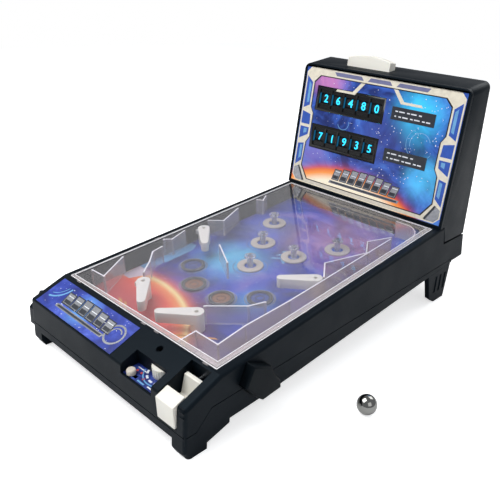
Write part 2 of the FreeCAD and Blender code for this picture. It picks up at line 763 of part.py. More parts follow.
def lower_case():
    """Lower half of the case: a tray with two front feet, the battery bay and the screw bosses."""
    tray = Moulding("lower_case", TRAY)

    def side_outline(inset):
        """Side of the tray, set in at its front and brought up to the joint line as its inset grows."""
        drop = "(seam_groove - %s)" % inset
        return [TRAY.local(inset, "tray_front_height"), TRAY.local(inset, "seam_front_height - %s" % drop),
                TRAY.local("seam_nose_run", "seam_front_height - %s" % drop),
                TRAY.local("seam_bend_run", "seam_bend_height - %s" % drop),
                TRAY.local("tray_length", "%s - %s" % (seam_height("tray_length"), drop)),
                TRAY.local("tray_length", "tray_rear_height"), ("0", "0")]

    def front_corner(one, two):
        half = sheet.case_width / 2 - 2 * sheet.seam_groove
        on_side = min(abs(one.x), abs(two.x)) > half and one.x * two.x > 0
        level = sheet.foot_toe_run - sheet.tray_bend_run + sheet.seam_groove
        upright = abs(one.z - two.z) > abs(one.y - two.y)
        return on_side and max(one.y, two.y) < level and upright

    tray.pad("YZ_Plane", [side_outline("0")], "case_width", both_ways=True)
    foot = [TRAY.local("0", "tray_front_height + wall"), TRAY.local("0", "foot_bevel"),
            TRAY.local("foot_toe_run", "0"), TRAY.local("foot_toe_run + foot_length", "0"),
            TRAY.local("foot_toe_run + foot_length", "foot_rib_start_height"),
            TRAY.local("foot_toe_run + foot_length + foot_rib_length", "foot_rib_end_height"),
            TRAY.local("foot_toe_run + foot_length + foot_rib_length", "tray_front_height + wall")]
    for low in ("-case_width / 2", "case_width / 2 - foot_width"):
        tray.pad("YZ_Plane", [foot], "foot_width", low)
    tray.round("rail_round", front_corner)
    tray.pad("YZ_Plane", [side_outline("seam_groove")], "case_width - 2 * seam_groove", both_ways=True)
    inner = [TRAY.local("wall", "tray_front_height + wall"), TRAY.local("wall", "front_height + overrun"),
             TRAY.local("tray_length - wall", "seam_rear_height + overrun"),
             (TRAY.local("tray_length - wall", "tray_rear_height")[0], "wall"), ("0", "wall")]
    tray.pocket("YZ_Plane", [inner], "case_width - 2 * wall", both_ways=True)
    bay = bay_outline("0")
    bay_out = bay_outline("wall")
    door_seat = bay_outline("door_lap")
    seat_out = bay_outline("(door_lap + wall)")
    tray.pad("XY_Plane", [seat_out], "door_thickness + wall", "wall / 2")
    tray.pad("XY_Plane", [bay_out], "%s + wall / 2" % BAY_TOP, "wall / 2")
    tray.pocket("XY_Plane", [door_seat], "door_thickness + overrun", "door_thickness")
    tray.pocket("XY_Plane", [bay], "overrun + %s" % BAY_TOP, BAY_TOP)
    bosses = boss_places(TRAY, "-fit_gap")
    for x, along, up in bosses:
        tray.pad("XY_Plane", [circle(x, along, "boss_radius")], "%s - wall / 2" % up, "wall / 2")
        tray.pocket("XY_Plane", [circle(x, along, "screw_radius + fit_gap")], "overrun * 2", "overrun")
        tray.pocket("XY_Plane", [circle(x, along, "screw_head_radius + fit_gap")], "overrun + screw_head_height",
                    "screw_head_height")
    for name, side, run, top, share in BUTTONS:
        corners = [TRAY.local(*DECK.machine(along, up))
                   for along, up in button_outline(run, top, share, "button_gap")]
        tray.pocket("YZ_Plane", [corners], "wall * 2 + fit_gap", SIDE_CUT[side])
    rim = "(speaker_radius + fit_gap)"
    tray.pad("XY_Plane", [circle("speaker_x", "speaker_run", rim + " + wall"),
                          circle("speaker_x", "speaker_run", rim)], "speaker_lip + wall / 2", "wall / 2")
    stands = [circle(x, along, "boss_radius") for x, along in board_corners()]
    tray.pad("XY_Plane", stands, "board_stand + wall / 2", "wall / 2")
    for name, side, run, top, share in BUTTONS:
        outline, up = spring_post(name, side)
        tray.pad("XY_Plane", [outline], "%s - wall / 2" % up, "wall / 2")


def rear_legs():
    """Two rear legs with fluted sides, screwed up against the tray."""
    legs = Moulding("rear_legs", MACHINE)

    def under(run):
        """Height of the tray's underside at a run."""
        slope = "%s / (tray_length - tray_bend_run)" % TRAY_RISE
        return "tray_bend_height + (%s - tray_bend_run) * %s" % (run, slope)

    outline = [("leg_top_run", under("leg_top_run")), ("leg_shoulder_run", "leg_shoulder_height"),
               ("leg_toe_run", "0"), ("leg_heel_run", "0"), ("leg_back_run", under("leg_back_run"))]
    for low in ("-case_width / 2", "case_width / 2 - leg_thickness"):
        legs.pad("YZ_Plane", [outline], "leg_thickness", low)
    flutes = []
    for place in range(1, 4):
        run = "(leg_shoulder_run + %d * (leg_back_run - leg_shoulder_run) / 4)" % place
        flutes.append(rectangle(run + " - leg_flute_width / 2", "leg_flute_rise", run + " + leg_flute_width / 2",
                                "leg_flute_rise + leg_flute_height"))
    legs.pocket("YZ_Plane", flutes, "leg_flute_depth + overrun", "case_width / 2 + overrun")
    legs.pocket("YZ_Plane", flutes, "leg_flute_depth", "-case_width / 2 + leg_flute_depth")


def play_floor():
    """Floor panel, with its dishes, lenses and lamps, and the bumpers on it."""
    panel = Moulding("playfield_panel", DECK)
    panel.pad("XY_Plane", [rectangle("-well_half + fit_gap", "well_front + fit_gap", "well_half - fit_gap",
                                     "%s - fit_gap" % WELL_BACK)], "panel_thickness", PANEL_UNDER)
    shafts = [circle(x, run, "shaft_radius + running_gap") for name, x, run, side, tail in hubs()]
    lamps = [circle(*well_point(shares), "lamp_radius + fit_gap") for shares in DISH_SHARES]
    screws = [circle(*well_point(shares), "bumper_screw_radius + fit_gap") for shares in BUMPER_SHARES]
    panel.pocket("XY_Plane", shafts + lamps + screws, "panel_thickness * 3", "%s + panel_thickness" % FLOOR_TOP)

    dishes = [well_point(shares) for shares in DISH_SHARES]
    bore = "(dish_radius - dish_rim)"
    finish(group([tube(cylinder, (x, y, FLOOR_TOP), "dish_radius", bore, "dish_height") for x, y in dishes]),
           "dish_bezels", DECK)
    finish(group([cylinder(x, y, FLOOR_TOP, bore, "lens_height") for x, y in dishes]), "dish_lenses", DECK)
    finish(group([fuse([cylinder(x, y, "%s - lamp_length" % FLOOR_TOP, "lamp_radius", "lamp_length"),
                        cylinder(x, y, "%s - lamp_length" % FLOOR_TOP, "lamp_collar",
                                 "lamp_length - panel_thickness - well_floor")])
                  for x, y in dishes]), "lamps", DECK)

    bumpers = [well_point(shares) for shares in BUMPER_SHARES]
    finish(group([tube(cylinder, (x, y, FLOOR_TOP), "bumper_radius", "bumper_bore", "bumper_height")
                  for x, y in bumpers]), "bumper_rings", DECK)
    post_top = "(%s + post_height)" % FLOOR_TOP
    finish(group([cut(fuse([cylinder(x, y, FLOOR_TOP, "post_radius", "post_height"),
                            cylinder(x, y, post_top + " - post_cap_height", "post_cap_radius", "post_cap_height")]),
                      cylinder(x, y, FLOOR_TOP, "bumper_screw_radius + fit_gap", "post_height"))
                  for x, y in bumpers]), "bumper_posts", DECK)
    finish(group([fuse([cylinder(x, y, WELL_UNDER, "bumper_screw_radius",
                                 "%s - %s" % (post_top, WELL_UNDER)),
                        cylinder(x, y, post_top, "bumper_screw_head", "bumper_screw_head_height")])
                  for x, y in bumpers]), "bumper_screws", DECK)


def cover():
    """Clear cover plate."""
    plate = Moulding("clear_cover", DECK)
    plate.pad("XY_Plane", [rectangle("-well_half - cover_lap", "well_front - cover_lap", "well_half + cover_lap",
                                     "%s + cover_lap" % WELL_BACK)], "cover_thickness", "-cover_thickness")


def wall_run(places, top, bottom):
    """A thin wall that follows a row of places, with round corners."""
    shapes = []
    height = "(%s) - (%s)" % (top, bottom)
    for x, y in places:
        shapes.append(cylinder(x, y, bottom, "guide_bead", height))
    for (x, y), (next_x, next_y) in zip(places, places[1:]):
        over = "((%s) - (%s))" % (next_x, x)
        along = "((%s) - (%s))" % (next_y, y)
        reach = "hypot(%s; %s)" % (over, along)
        plank = block(0, 0, bottom, reach, "guide_wall", height)
        plank.Placement = FreeCAD.Placement(FreeCAD.Vector(), FreeCAD.Rotation(FreeCAD.Vector(0, 0, 1), 1))
        bind(plank, **{"Placement.Rotation.Angle": "atan2(%s; %s)" % (along, over),
                       "Placement.Base.x": "%s + %s / %s * guide_wall / 2" % (x, along, reach),
                       "Placement.Base.y": "%s - %s / %s * guide_wall / 2" % (y, over, reach)})
        shapes.append(plank)
    return fuse(shapes)


def guides():
    """Clear guide walls between the floor and the cover."""
    top = "(-cover_thickness - fit_gap)"

    def walls(table):
        return [wall_run([well_point(shares) for shares in run], top, FLOOR_TOP) for run in table]

    start = ARCH_START_SHARES
    centre = ARCH_CENTRE_SHARES
    arch = [well_point(start)]
    for step in range(ARCH_STEPS + 1):
        turn = math.pi / 2 * step / ARCH_STEPS
        across = centre[0] + (ARCH_END_SHARE - centre[0]) * math.sin(turn)
        along = centre[1] + (start[1] - centre[1]) * math.cos(turn)
        arch.append(well_point((across, along)))
    right = walls(LANE_WALL_SHARES) + [wall_run(arch, top, FLOOR_TOP)]
    finish(fuse(right), "right_guides", DECK)
    finish(group(walls(LEFT_GUIDE_SHARES)), "left_guides", DECK)
    finish(group(walls(FLIPPER_GUIDE_SHARES)), "flipper_guides", DECK)


HUB_TOP = "(-cover_thickness - fit_gap)"


def tapered(x, y, over, along, reach, wide, narrow):
    """The four corners of a bar that tapers between two circles along a direction."""
    lean = "((%s - %s) / %s)" % (wide, narrow, reach)
    square = "sqrt(1 - %s * %s)" % (lean, lean)
    corners = []
    for start, radius, sides in (("0", wide, (1, -1)), (reach, narrow, (-1, 1))):
        for side in sides:
            corners.append(("%s + (%s) * (%s) + %s * (%s * (%s) - %d * %s * (%s))"
                            % (x, start, over, radius, lean, over, side, square, along),
                            "%s + (%s) * (%s) + %s * (%s * (%s) + %d * %s * (%s))"
                            % (y, start, along, radius, lean, along, side, square, over)))
    return corners


def flippers():
    """Four flippers with their shafts, and the crank on each shaft under the floor."""
    droop_cos, droop_sin = turned("flipper_droop_angle")
    half_cos, half_sin = turned("flipper_swing_angle / 2")
    for name, x, y, side, tail in hubs():
        over = "%d * %s" % (-side, droop_cos)
        along = "-" + droop_sin
        flipper = Moulding(name + "_flipper", DECK)
        flipper.pad("XY_Plane", [circle(x, y, "flipper_hub_radius")], "%s - %s - fit_gap" % (HUB_TOP, FLOOR_TOP),
                    "%s + fit_gap" % FLOOR_TOP)
        blade = tapered(x, y, over, along, "flipper_length", "flipper_hub_radius", "flipper_tip_radius")
        blade_low = "%s - flipper_blade_height" % HUB_TOP
        flipper.pad("XY_Plane", [blade], "flipper_blade_height", blade_low)
        tip = circle("%s + flipper_length * %s" % (x, over), "%s + flipper_length * %s" % (y, along),
                     "flipper_tip_radius")
        flipper.pad("XY_Plane", [tip], "flipper_blade_height", blade_low)
        if tail:
            stub = rectangle("%s - flipper_hub_radius - tail_length" % x, "%s - tail_thickness / 2" % y, x,
                             "%s + tail_thickness / 2" % y)
            flipper.pad("XY_Plane", [stub], "tail_thickness", "%s - flipper_blade_height" % HUB_TOP)
        flipper.pad("XY_Plane", [circle(x, y, "shaft_radius")], "%s + fit_gap - %s" % (FLOOR_TOP, CRANK_UNDER),
                    CRANK_UNDER)
        flipper.pocket("XY_Plane", [circle(x, y, "flipper_pocket_radius")], "flipper_pocket_depth", HUB_TOP)

        pin_x = "%s + crank_radius * %d * %s" % (x, side, half_sin)
        pin_y = "%s - crank_radius * %s" % (y, half_cos)
        arm = tapered(x, y, "%d * %s" % (side, half_sin), "-" + half_cos, "crank_radius", "crank_web / 2",
                      "crank_web / 2")
        crank = Moulding(name + "_crank", DECK)
        crank.pad("XY_Plane", [circle(x, y, "crank_hub_radius")], "crank_thickness", CRANK_UNDER)
        crank.pad("XY_Plane", [arm], "crank_thickness", CRANK_UNDER)
        crank.pad("XY_Plane", [circle(pin_x, pin_y, "crank_web / 2")], "crank_thickness", CRANK_UNDER)
        crank.pad("XY_Plane", [circle(pin_x, pin_y, "pin_radius")], "pin_length + crank_thickness / 2",
                  "%s - pin_length" % CRANK_UNDER)
        crank.pocket("XY_Plane", [circle(x, y, "shaft_radius")], "crank_thickness * 3",
                     "%s + crank_thickness" % CRANK_TOP)


def buttons():
    """Flipper buttons, the push bars that they carry and their return springs."""
    half_cos, half_sin = turned("flipper_swing_angle / 2")
    middle = "(%s + bar_thickness / 2)" % BAR_UNDER
    for name, side, run, top, share in BUTTONS:
        button = Moulding(name + "_flipper_button", DECK)
        inner = "(%s + fit_gap + button_travel)" % WELL_OUT
        outer = "(case_width / 2 + button_proud)"
        low = inner if side > 0 else "-" + outer
        button.pad("YZ_Plane", [button_outline(run, top, share, "0")], "%s - %s" % (outer, inner), low)
        edge = sheet.case_width / 2 + sheet.button_proud

        def on_face(one, two):
            return min(abs(one.x), abs(two.x)) > edge - sheet.fit_gap

        button.round("button_round", on_face)
        shank = rectangle("%s + button_length / 2 - shank_length / 2" % run, BAR_UNDER,
                          "%s + button_length / 2 + shank_length / 2" % run, "%s + bar_thickness" % BAR_UNDER)
        start = "(bar_offset_x + bar_width / 2)"
        low = start if side > 0 else "-%s" % inner
        button.pad("YZ_Plane", [shank], "%s - %s" % (inner, start), low)

        bar = Moulding(name + "_push_bar", DECK)
        near = "%d * (bar_offset_x - bar_width / 2)" % side
        far = "%d * (bar_offset_x + bar_width / 2)" % side
        first = "%s + button_length / 2 - shank_length / 2" % run
        last = "upper_hub_run - crank_radius + bar_width / 2"
        bar.pad("XY_Plane", [rectangle(near, first, far, last)], "bar_thickness", BAR_UNDER)
        slots = []
        for level in ("lower", "upper"):
            pin_x = "(%s_%s_hub_x + crank_radius * %d * %s)" % (level, name, side, half_sin)
            row = "(%s_hub_run - crank_radius * (1 + %s) / 2)" % (level, half_cos)
            inner_x = "%s - %d * bar_width / 2" % (pin_x, side)
            bar.pad("XY_Plane", [rectangle(inner_x, "%s - bar_width / 2" % row, far, "%s + bar_width / 2" % row)],
                    "bar_thickness", BAR_UNDER)
            reach = "(pin_radius + fit_gap)"
            swing = "(crank_radius * (1 - %s) / 2)" % half_cos
            slots.append(rectangle("%s - %s" % (pin_x, reach), "%s - %s - %s" % (row, swing, reach),
                                   "%s + %s" % (pin_x, reach), "%s + %s + %s" % (row, swing, reach)))
        bar.pocket("XY_Plane", slots, "bar_thickness * 3", "%s + bar_thickness" % BAR_TOP)

        low = SPRING_END if side > 0 else "-%s - return_spring_length" % SPRING_END
        finish(tube(lying, (low, name + "_spring_run", middle), "return_spring_radius", "return_spring_bore",
                    "return_spring_length"), name + "_return_spring", DECK)


def launcher():
    """Launcher lever, its rod and the spring under it."""
    low = "(slot_left_x + lever_gap)"
    width = "(slot_right_x - slot_left_x - 2 * lever_gap)"
    floor = "(-slot_floor_depth + lever_floor_gap)"
    lever = Moulding("launcher_lever", DECK)
    side = [("lever_front_run", floor), ("lever_front_run", "-lever_front_depth"),
            ("lever_block_run", "-lever_block_depth"), ("lever_block_run", "-lever_trough_depth"),
            ("lever_rear_run", "-lever_trough_depth"), ("lever_back_run - lever_rear_wall", "-lever_rear_depth"),
            ("lever_back_run", "-lever_rear_depth"), ("lever_back_run", floor)]
    lever.pad("YZ_Plane", [side], width, low)
    leg = [("lever_back_run - 2 * rod_radius", "%s - lever_leg_length" % floor),
           ("lever_back_run", "%s - lever_leg_length" % floor), ("lever_back_run", floor),
           ("lever_back_run - 2 * rod_radius", floor)]
    lever.pad("YZ_Plane", [leg], "2 * wheel_pin_radius", "%s - wheel_pin_radius" % ROD_X)

    rod = Moulding("launcher_rod", DECK)
    rod.pad("XZ_Plane", [circle(ROD_X, "-rod_depth", "rod_radius")], "rod_end_run - lever_back_run", "-rod_end_run")
    middle = "(%s - lever_leg_length / 2 - launcher_spring_radius)" % floor
    spring = Moulding("launcher_spring", DECK)
    spring.pad("XZ_Plane", [circle(ROD_X, "%s" % middle, "launcher_spring_radius"),
                            circle(ROD_X, "%s" % middle, "launcher_spring_bore")],
               "launcher_post_run - lever_back_run", "-launcher_post_run")


def controls():
    """Selector wheel, switch knob and the printed panels."""
    wheel = Moulding("selector_wheel", DECK)
    base = "(-recess_depth + wheel_gap)"
    wheel.pad("XY_Plane", [circle("wheel_x", "wheel_run", "wheel_radius")], "wheel_height", base)
    ribs = []
    for step in range(WHEEL_RIBS):
        turn = "(360 / %d * %d)" % (WHEEL_RIBS, step)
        cos, sin = turned(turn)
        ribs.append(circle("wheel_x + wheel_radius * %s" % cos, "wheel_run + wheel_radius * %s" % sin,
                           "wheel_groove_radius"))
    wheel.pocket("XY_Plane", ribs, "wheel_height * 2", "%s + wheel_height" % base)
    wheel.pocket("XY_Plane", [circle("wheel_x", "wheel_run", "wheel_pin_radius + running_gap")],
                 "wheel_height * 2", "%s + wheel_height" % base)

    knob = Moulding("switch_knob", DECK)
    base = "(-recess_depth + legend_thickness + fit_gap)"
    knob.pad("XY_Plane", [circle("knob_x", "knob_run", "knob_radius")], "knob_height", base)
    knob.pad("XY_Plane", [circle("knob_x", "knob_run", "knob_stem_radius")], "knob_height + well_wall",
             "%s - well_wall" % base)
    level = sheet.knob_height - sheet.recess_depth
    knob.round("knob_height / 3", lambda one, two: min(one.z, two.z) > level)

    legend = Moulding("legend_panel", DECK)
    legend.pad("XY_Plane", [rectangle("recess_left_x + fit_gap", "lever_front_run + 2 * wall",
                                      "recess_right_x - fit_gap", "recess_back_run - fit_gap")],
               "legend_thickness", "-recess_depth")
    legend.pocket("XY_Plane", [rectangle("knob_x - knob_stem_radius - fit_gap",
                                         "knob_run - knob_stem_radius - fit_gap",
                                         "knob_x + knob_travel + knob_stem_radius + fit_gap",
                                         "knob_run + knob_stem_radius + fit_gap")],
                  "legend_thickness * 3", "-recess_depth + legend_thickness * 2")

    panel = Moulding("apron_panel", APRON)
    panel.pad("XY_Plane", [rectangle("apron_panel_left_x", "apron_panel_start", "apron_panel_right_x",
                                     "apron_panel_end")], "legend_thickness", "0")


def power():
    """Battery door, cells and contacts, the speaker, the circuit board and the case screws."""
    door = Moulding("battery_door", TRAY)
    door.pad("XY_Plane", [bay_outline("(door_lap - fit_gap)")], "door_thickness - fit_gap", "0")
    door.pocket("XY_Plane", [rectangle("-cell_length / 4", "bay_run + cell_pitch / 3", "cell_length / 4",
                                       "bay_run + cell_pitch * 2 / 3")], "door_thickness / 3", "door_thickness / 3")

    cells = []
    contacts = []
    level = "(door_thickness + cell_radius + fit_gap)"
    for number in range(sheet.cell_count):
        along = "(bay_run + cell_pitch * (%d + 1 / 2))" % number
        cells.append(fuse([lying("-cell_length / 2", along, level, "cell_radius", "cell_length - cell_tip_length"),
                           lying("cell_length / 2 - cell_tip_length", along, level, "cell_tip_radius",
                                 "cell_tip_length")]))
        for end in ("cell_length / 2", "-cell_length / 2 - bay_end_gap"):
            contacts.append(block(end, "%s - cell_radius / 2" % along, "%s - cell_radius / 2" % level,
                                  "bay_end_gap", "cell_radius", "cell_radius"))
    finish(group(cells), "batteries", TRAY)
    finish(group(contacts), "battery_contacts", TRAY)

    base = "wall"
    finish(fuse([cylinder("speaker_x", "speaker_run", base, "speaker_radius", "speaker_lip"),
                 cylinder("speaker_x", "speaker_run", base, "speaker_radius * 3 / 4", "speaker_height * 3 / 4"),
                 cylinder("speaker_x", "speaker_run", base, "speaker_radius / 2", "speaker_height")]),
           "speaker", TRAY)

    base = "(wall + board_stand)"
    top = "(%s + board_thickness)" % base
    parts = [block("-board_width / 2", "board_run", base, "board_width", "board_length", "board_thickness")]
    for x, along in (("-board_width / 3", "board_length / 2"), ("0", "board_length / 5"),
                     ("board_width / 5", "board_length / 2")):
        parts.append(block(x, "board_run + %s" % along, top, "chip_length", "chip_length / 2", "chip_height"))
    finish(fuse(parts), "circuit_board", TRAY)

    screws = []
    for x, along, up in boss_places(TRAY, "-fit_gap"):
        screws.append(fuse([cylinder(x, along, 0, "screw_head_radius", "screw_head_height"),
                            cylinder(x, along, 0, "screw_radius", "%s + screw_grip" % up)]))
    finish(group(screws), "case_screws", TRAY)


GLASS_HALF = "(case_width / 2 - bezel_rim)"
SHELF_TOP = "(backbox_face_height - reset_shelf_drop)"
DRUM_CENTRE_DEPTH = "(window_depth + glass_inset + drum_gap + drum_radius)"


def windows():
    """The two score windows: the low edge of each, up the face."""
    return (("upper", "upper_window_low"), ("lower", "lower_window_low"))


def backbox():
    """Backbox shell, its front bezel, the backglass and the score windows."""
    side = [("bezel_depth", "0"), ("bezel_depth", "backbox_face_height"),
            ("backbox_top_depth", "backbox_face_height + backbox_top_rise"),
            BOX.local("tail_top_run - wall / 2", "ledge_height + backbox_slot"),
            BOX.local("ledge_run + wall / 2", "ledge_height + backbox_slot"),
            BOX.local(*DECK.machine("deck_length + fit_gap", "0")),
            BOX.local(*DECK.machine("deck_length + fit_gap", "fit_gap")), ("bezel_depth", "backbox_floor_rise")]
    rear = Moulding("backbox_rear", BOX)
    rear.pad("YZ_Plane", [side[1:]], "case_width", both_ways=True)
    doc.recompute()
    half = sheet.case_width / 2

    def top_corner(one, two):
        on_edge = min(abs(one.x), abs(two.x)) > half - sheet.fit_gap
        return on_edge and min(one.z, two.z) > sheet.backbox_face_height - sheet.wall and one.x * two.x > 0

    rear.round("backbox_round", top_corner)
    inner = [("-overrun", "wall + backbox_floor_rise"), ("-overrun", "backbox_face_height - wall"),
             ("bezel_depth", "backbox_face_height - wall"),
             ("backbox_top_depth - wall", "backbox_face_height + backbox_top_rise - 2 * wall"),
             BOX.local("tail_top_run - 2 * wall", "ledge_height + backbox_slot + wall"),
             BOX.local("ledge_run + 2 * wall", "ledge_height + backbox_slot + wall"),
             BOX.local(*DECK.machine("deck_length + 2 * wall", "wall"))]
    rear.pocket("YZ_Plane", [inner], "case_width - 4 * wall", both_ways=True)
    foot = [BOX.local("ledge_run + 2 * wall", "ledge_height"),
            BOX.local("ledge_run + 2 * wall", "ledge_height + backbox_slot + wall / 2"),
            BOX.local("tail_top_run - 3 * wall", "ledge_height + backbox_slot + wall / 2"),
            BOX.local("tail_top_run - 3 * wall", "ledge_height")]
    rear.pad("YZ_Plane", [foot], "case_width - 8 * backbox_round", both_ways=True)
    shelf = rectangle("reset_depth - reset_width / 2", "%s - wall" % SHELF_TOP, "backbox_top_depth + wall",
                      SHELF_TOP)
    middle = "((reset_left_x + reset_right_x) / 2)"
    rear.pad("YZ_Plane", [shelf], "reset_width * 2", "%s - reset_width" % middle)
    slot = rectangle("reset_left_x - fit_gap", "reset_depth - reset_width / 2 - fit_gap",
                     "reset_right_x + fit_gap", "reset_depth + reset_width / 2 + fit_gap")
    rear.pocket("XY_Plane", [slot], "overrun", "backbox_face_height + overrun - wall * 2")
    rear.pocket("XY_Plane", [circle(middle, "reset_depth", "reset_stem_radius + fit_gap")], "wall * 3",
                "%s + wall" % SHELF_TOP)

    bezel = Moulding("backbox_front", BOX)
    deck_rise = "backbox_floor_rise"
    face = [("0", "0"), ("0", "backbox_face_height - wall / 2"), ("bezel_depth", "backbox_face_height"),
            ("bezel_depth", deck_rise)]
    bezel.pad("YZ_Plane", [face], "case_width", both_ways=True)
    bezel.round("backbox_round", top_corner)
    opening = rectangle("-%s + bezel_rim" % GLASS_HALF, "2 * bezel_rim", "%s - bezel_rim" % GLASS_HALF,
                        "backbox_face_height - 2 * bezel_rim")
    bezel.pocket("XZ_Plane", [opening], "overrun * 2", "overrun")
    seat = rectangle("-%s - fit_gap" % GLASS_HALF, "bezel_rim - fit_gap", "%s + fit_gap" % GLASS_HALF,
                     "backbox_face_height - bezel_rim + fit_gap")
    bezel.pocket("XZ_Plane", [seat], "glass_inset + glass_thickness + overrun", "overrun")

    glass = Moulding("backglass", BOX)
    glass.pad("XZ_Plane", [rectangle("-" + GLASS_HALF, "bezel_rim", GLASS_HALF, "backbox_face_height - bezel_rim")],
              "glass_thickness", "-glass_inset - glass_thickness")
    holes = [rectangle("window_left_x - fit_gap", low + " - fit_gap", "window_right_x + fit_gap",
                       low + " + window_height + fit_gap") for name, low in windows()]
    glass.pocket("XZ_Plane", holes, "overrun", "glass_inset")
    labels = Moulding("label_plates", BOX)
    labels.pad("XZ_Plane", [rectangle("label_left_x", low, "label_right_x", low + " + label_height")
                            for low in ("upper_label_low", "lower_label_low")],
               "label_thickness", "-glass_inset")

    frame = Moulding("score_frame", BOX)
    faces = [rectangle("window_left_x", low, "window_right_x", low + " + window_height")
             for name, low in windows()]
    frame.pad("XZ_Plane", faces, "window_depth - label_thickness", "-window_depth - glass_inset")
    openings = []
    for name, low in windows():
        for number in range(DRUM_COUNT):
            x = drum_x(number)
            openings.append(rectangle("%s - drum_width / 2 - fit_gap" % x, low + " + window_frame",
                                      "%s + drum_width / 2 + fit_gap" % x, low + " + window_height - window_frame"))
    frame.pocket("XZ_Plane", openings, "overrun * 2", "overrun")
    for name, low in windows():
        level = "(%s + window_height / 2)" % low
        arm = rectangle("window_depth + glass_inset - label_thickness", level + " - 2 * axle_radius",
                        DRUM_CENTRE_DEPTH + " + 2 * axle_radius", level + " + 2 * axle_radius")
        for x in ("window_left_x", "window_right_x - axle_bracket"):
            frame.pad("YZ_Plane", [arm], "axle_bracket", x)
            frame.pocket("YZ_Plane", [circle(DRUM_CENTRE_DEPTH, level, "axle_radius")], "axle_bracket * 3",
                         "%s + 2 * axle_bracket" % x)


def drum_x(number):
    """Middle of a score drum, counted from the left."""
    return "(window_left_x / 2 + window_right_x / 2 + drum_pitch * (%d - (%d - 1) / 2))" % (number, DRUM_COUNT)


def drums():
    """Ten score drums on two axles."""
    axles = []
    for name, low in windows():
        level = "(%s + window_height / 2)" % low
        axles.append(lying("window_left_x", DRUM_CENTRE_DEPTH, level, "axle_radius", "window_right_x - window_left_x"))
        for number in range(DRUM_COUNT):
            start = "(%s - drum_width / 2)" % drum_x(number)
            drum = Moulding("%s_drum_%d" % (name, number + 1), BOX)
            drum.pad("YZ_Plane", [circle(DRUM_CENTRE_DEPTH, level, "drum_radius")], "drum_width", start)
            drum.pocket("YZ_Plane", [circle(DRUM_CENTRE_DEPTH, level, "drum_radius - drum_wall"),
                                     circle(DRUM_CENTRE_DEPTH, level, "drum_hub_radius")],
                        "drum_width - 2 * drum_wall", "%s + drum_width + drum_wall" % start)
            drum.pocket("YZ_Plane", [circle(DRUM_CENTRE_DEPTH, level, "axle_radius + running_gap")],
                        "drum_width * 3", "%s + 2 * drum_width" % start)
    finish(group(axles), "score_axles", BOX)


def reset():
    """Reset button in the top of the backbox, with its collar, stem and spring."""
    button = Moulding("reset_button", BOX)
    base = "(backbox_face_height + reset_depth * backbox_top_rise / backbox_top_depth)"
    under = "(%s - 2 * wall - reset_travel)" % base
    width = "(reset_right_x - reset_left_x)"
    top = [("reset_left_x", "%s + reset_end_height" % base)]
    for share in RESET_ARCH_SHARES:
        rise = "(reset_middle_height - reset_end_height) * sin(180 * %s * 1 deg)" % share
        top.append(("reset_left_x + %s * %s" % (share, width), "%s + reset_end_height + %s" % (base, rise)))
    top.append(("reset_right_x", "%s + reset_end_height" % base))
    side = [("reset_left_x", under)] + top + [("reset_right_x", under)]
    button.pad("XZ_Plane", [side], "reset_width", "-reset_depth", both_ways=True)
    crown = sheet.backbox_face_height + sheet.backbox_top_rise

    button.round("button_round / 2", lambda one, two: min(one.z, two.z) > crown)
    collar = rectangle("reset_left_x - 2 * reset_collar", "reset_depth - reset_width / 2 - reset_collar",
                       "reset_right_x + 2 * reset_collar", "reset_depth + reset_width / 2 + reset_collar")
    button.pad("XY_Plane", [collar], "reset_collar", under)
    middle = "((reset_left_x + reset_right_x) / 2)"
    button.pad("XY_Plane", [circle(middle, "reset_depth", "reset_stem_radius")], "reset_stem_length",
               "%s - reset_stem_length" % under)
    finish(tube(cylinder, (middle, "reset_depth", SHELF_TOP), "reset_spring_radius", "reset_spring_bore",
                "%s - %s" % (under, SHELF_TOP)), "reset_spring", BOX)


def ball():
    """Steel ball, lying on the table beside the case."""
    item = doc.addObject("Part::Sphere", "Sphere")
    bind(item, Radius="ball_radius")
    for axis, value in zip("xyz", ("ball_x", "ball_run", "ball_radius")):
        item.setExpression("Placement.Base." + axis, formula(value))
    finish(group([item]), "ball", MACHINE)


for make in (upper_case, lower_case, rear_legs, play_floor, cover, guides, flippers, buttons, launcher,
             controls, power, backbox, drums, reset, ball):
    make()
doc.recompute()

faults = [item.Name for item in doc.Objects if "Invalid" in item.State or "Error" in item.State]
faults += [item.Label for item in NODES if item.Shape.isNull() or not item.Shape.isValid()]
if faults:
    raise SystemExit("These are not sound: " + ", ".join(faults))

os.makedirs("parts", exist_ok=True)
for item in NODES:
    item.Shape.exportStep(os.path.join("parts", item.Label + ".step"))
    print(item.Label, len(item.Shape.Solids), round(item.Shape.Volume))
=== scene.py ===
import bmesh
import bpy
import json
import math
import random
from mathutils import Matrix, Vector

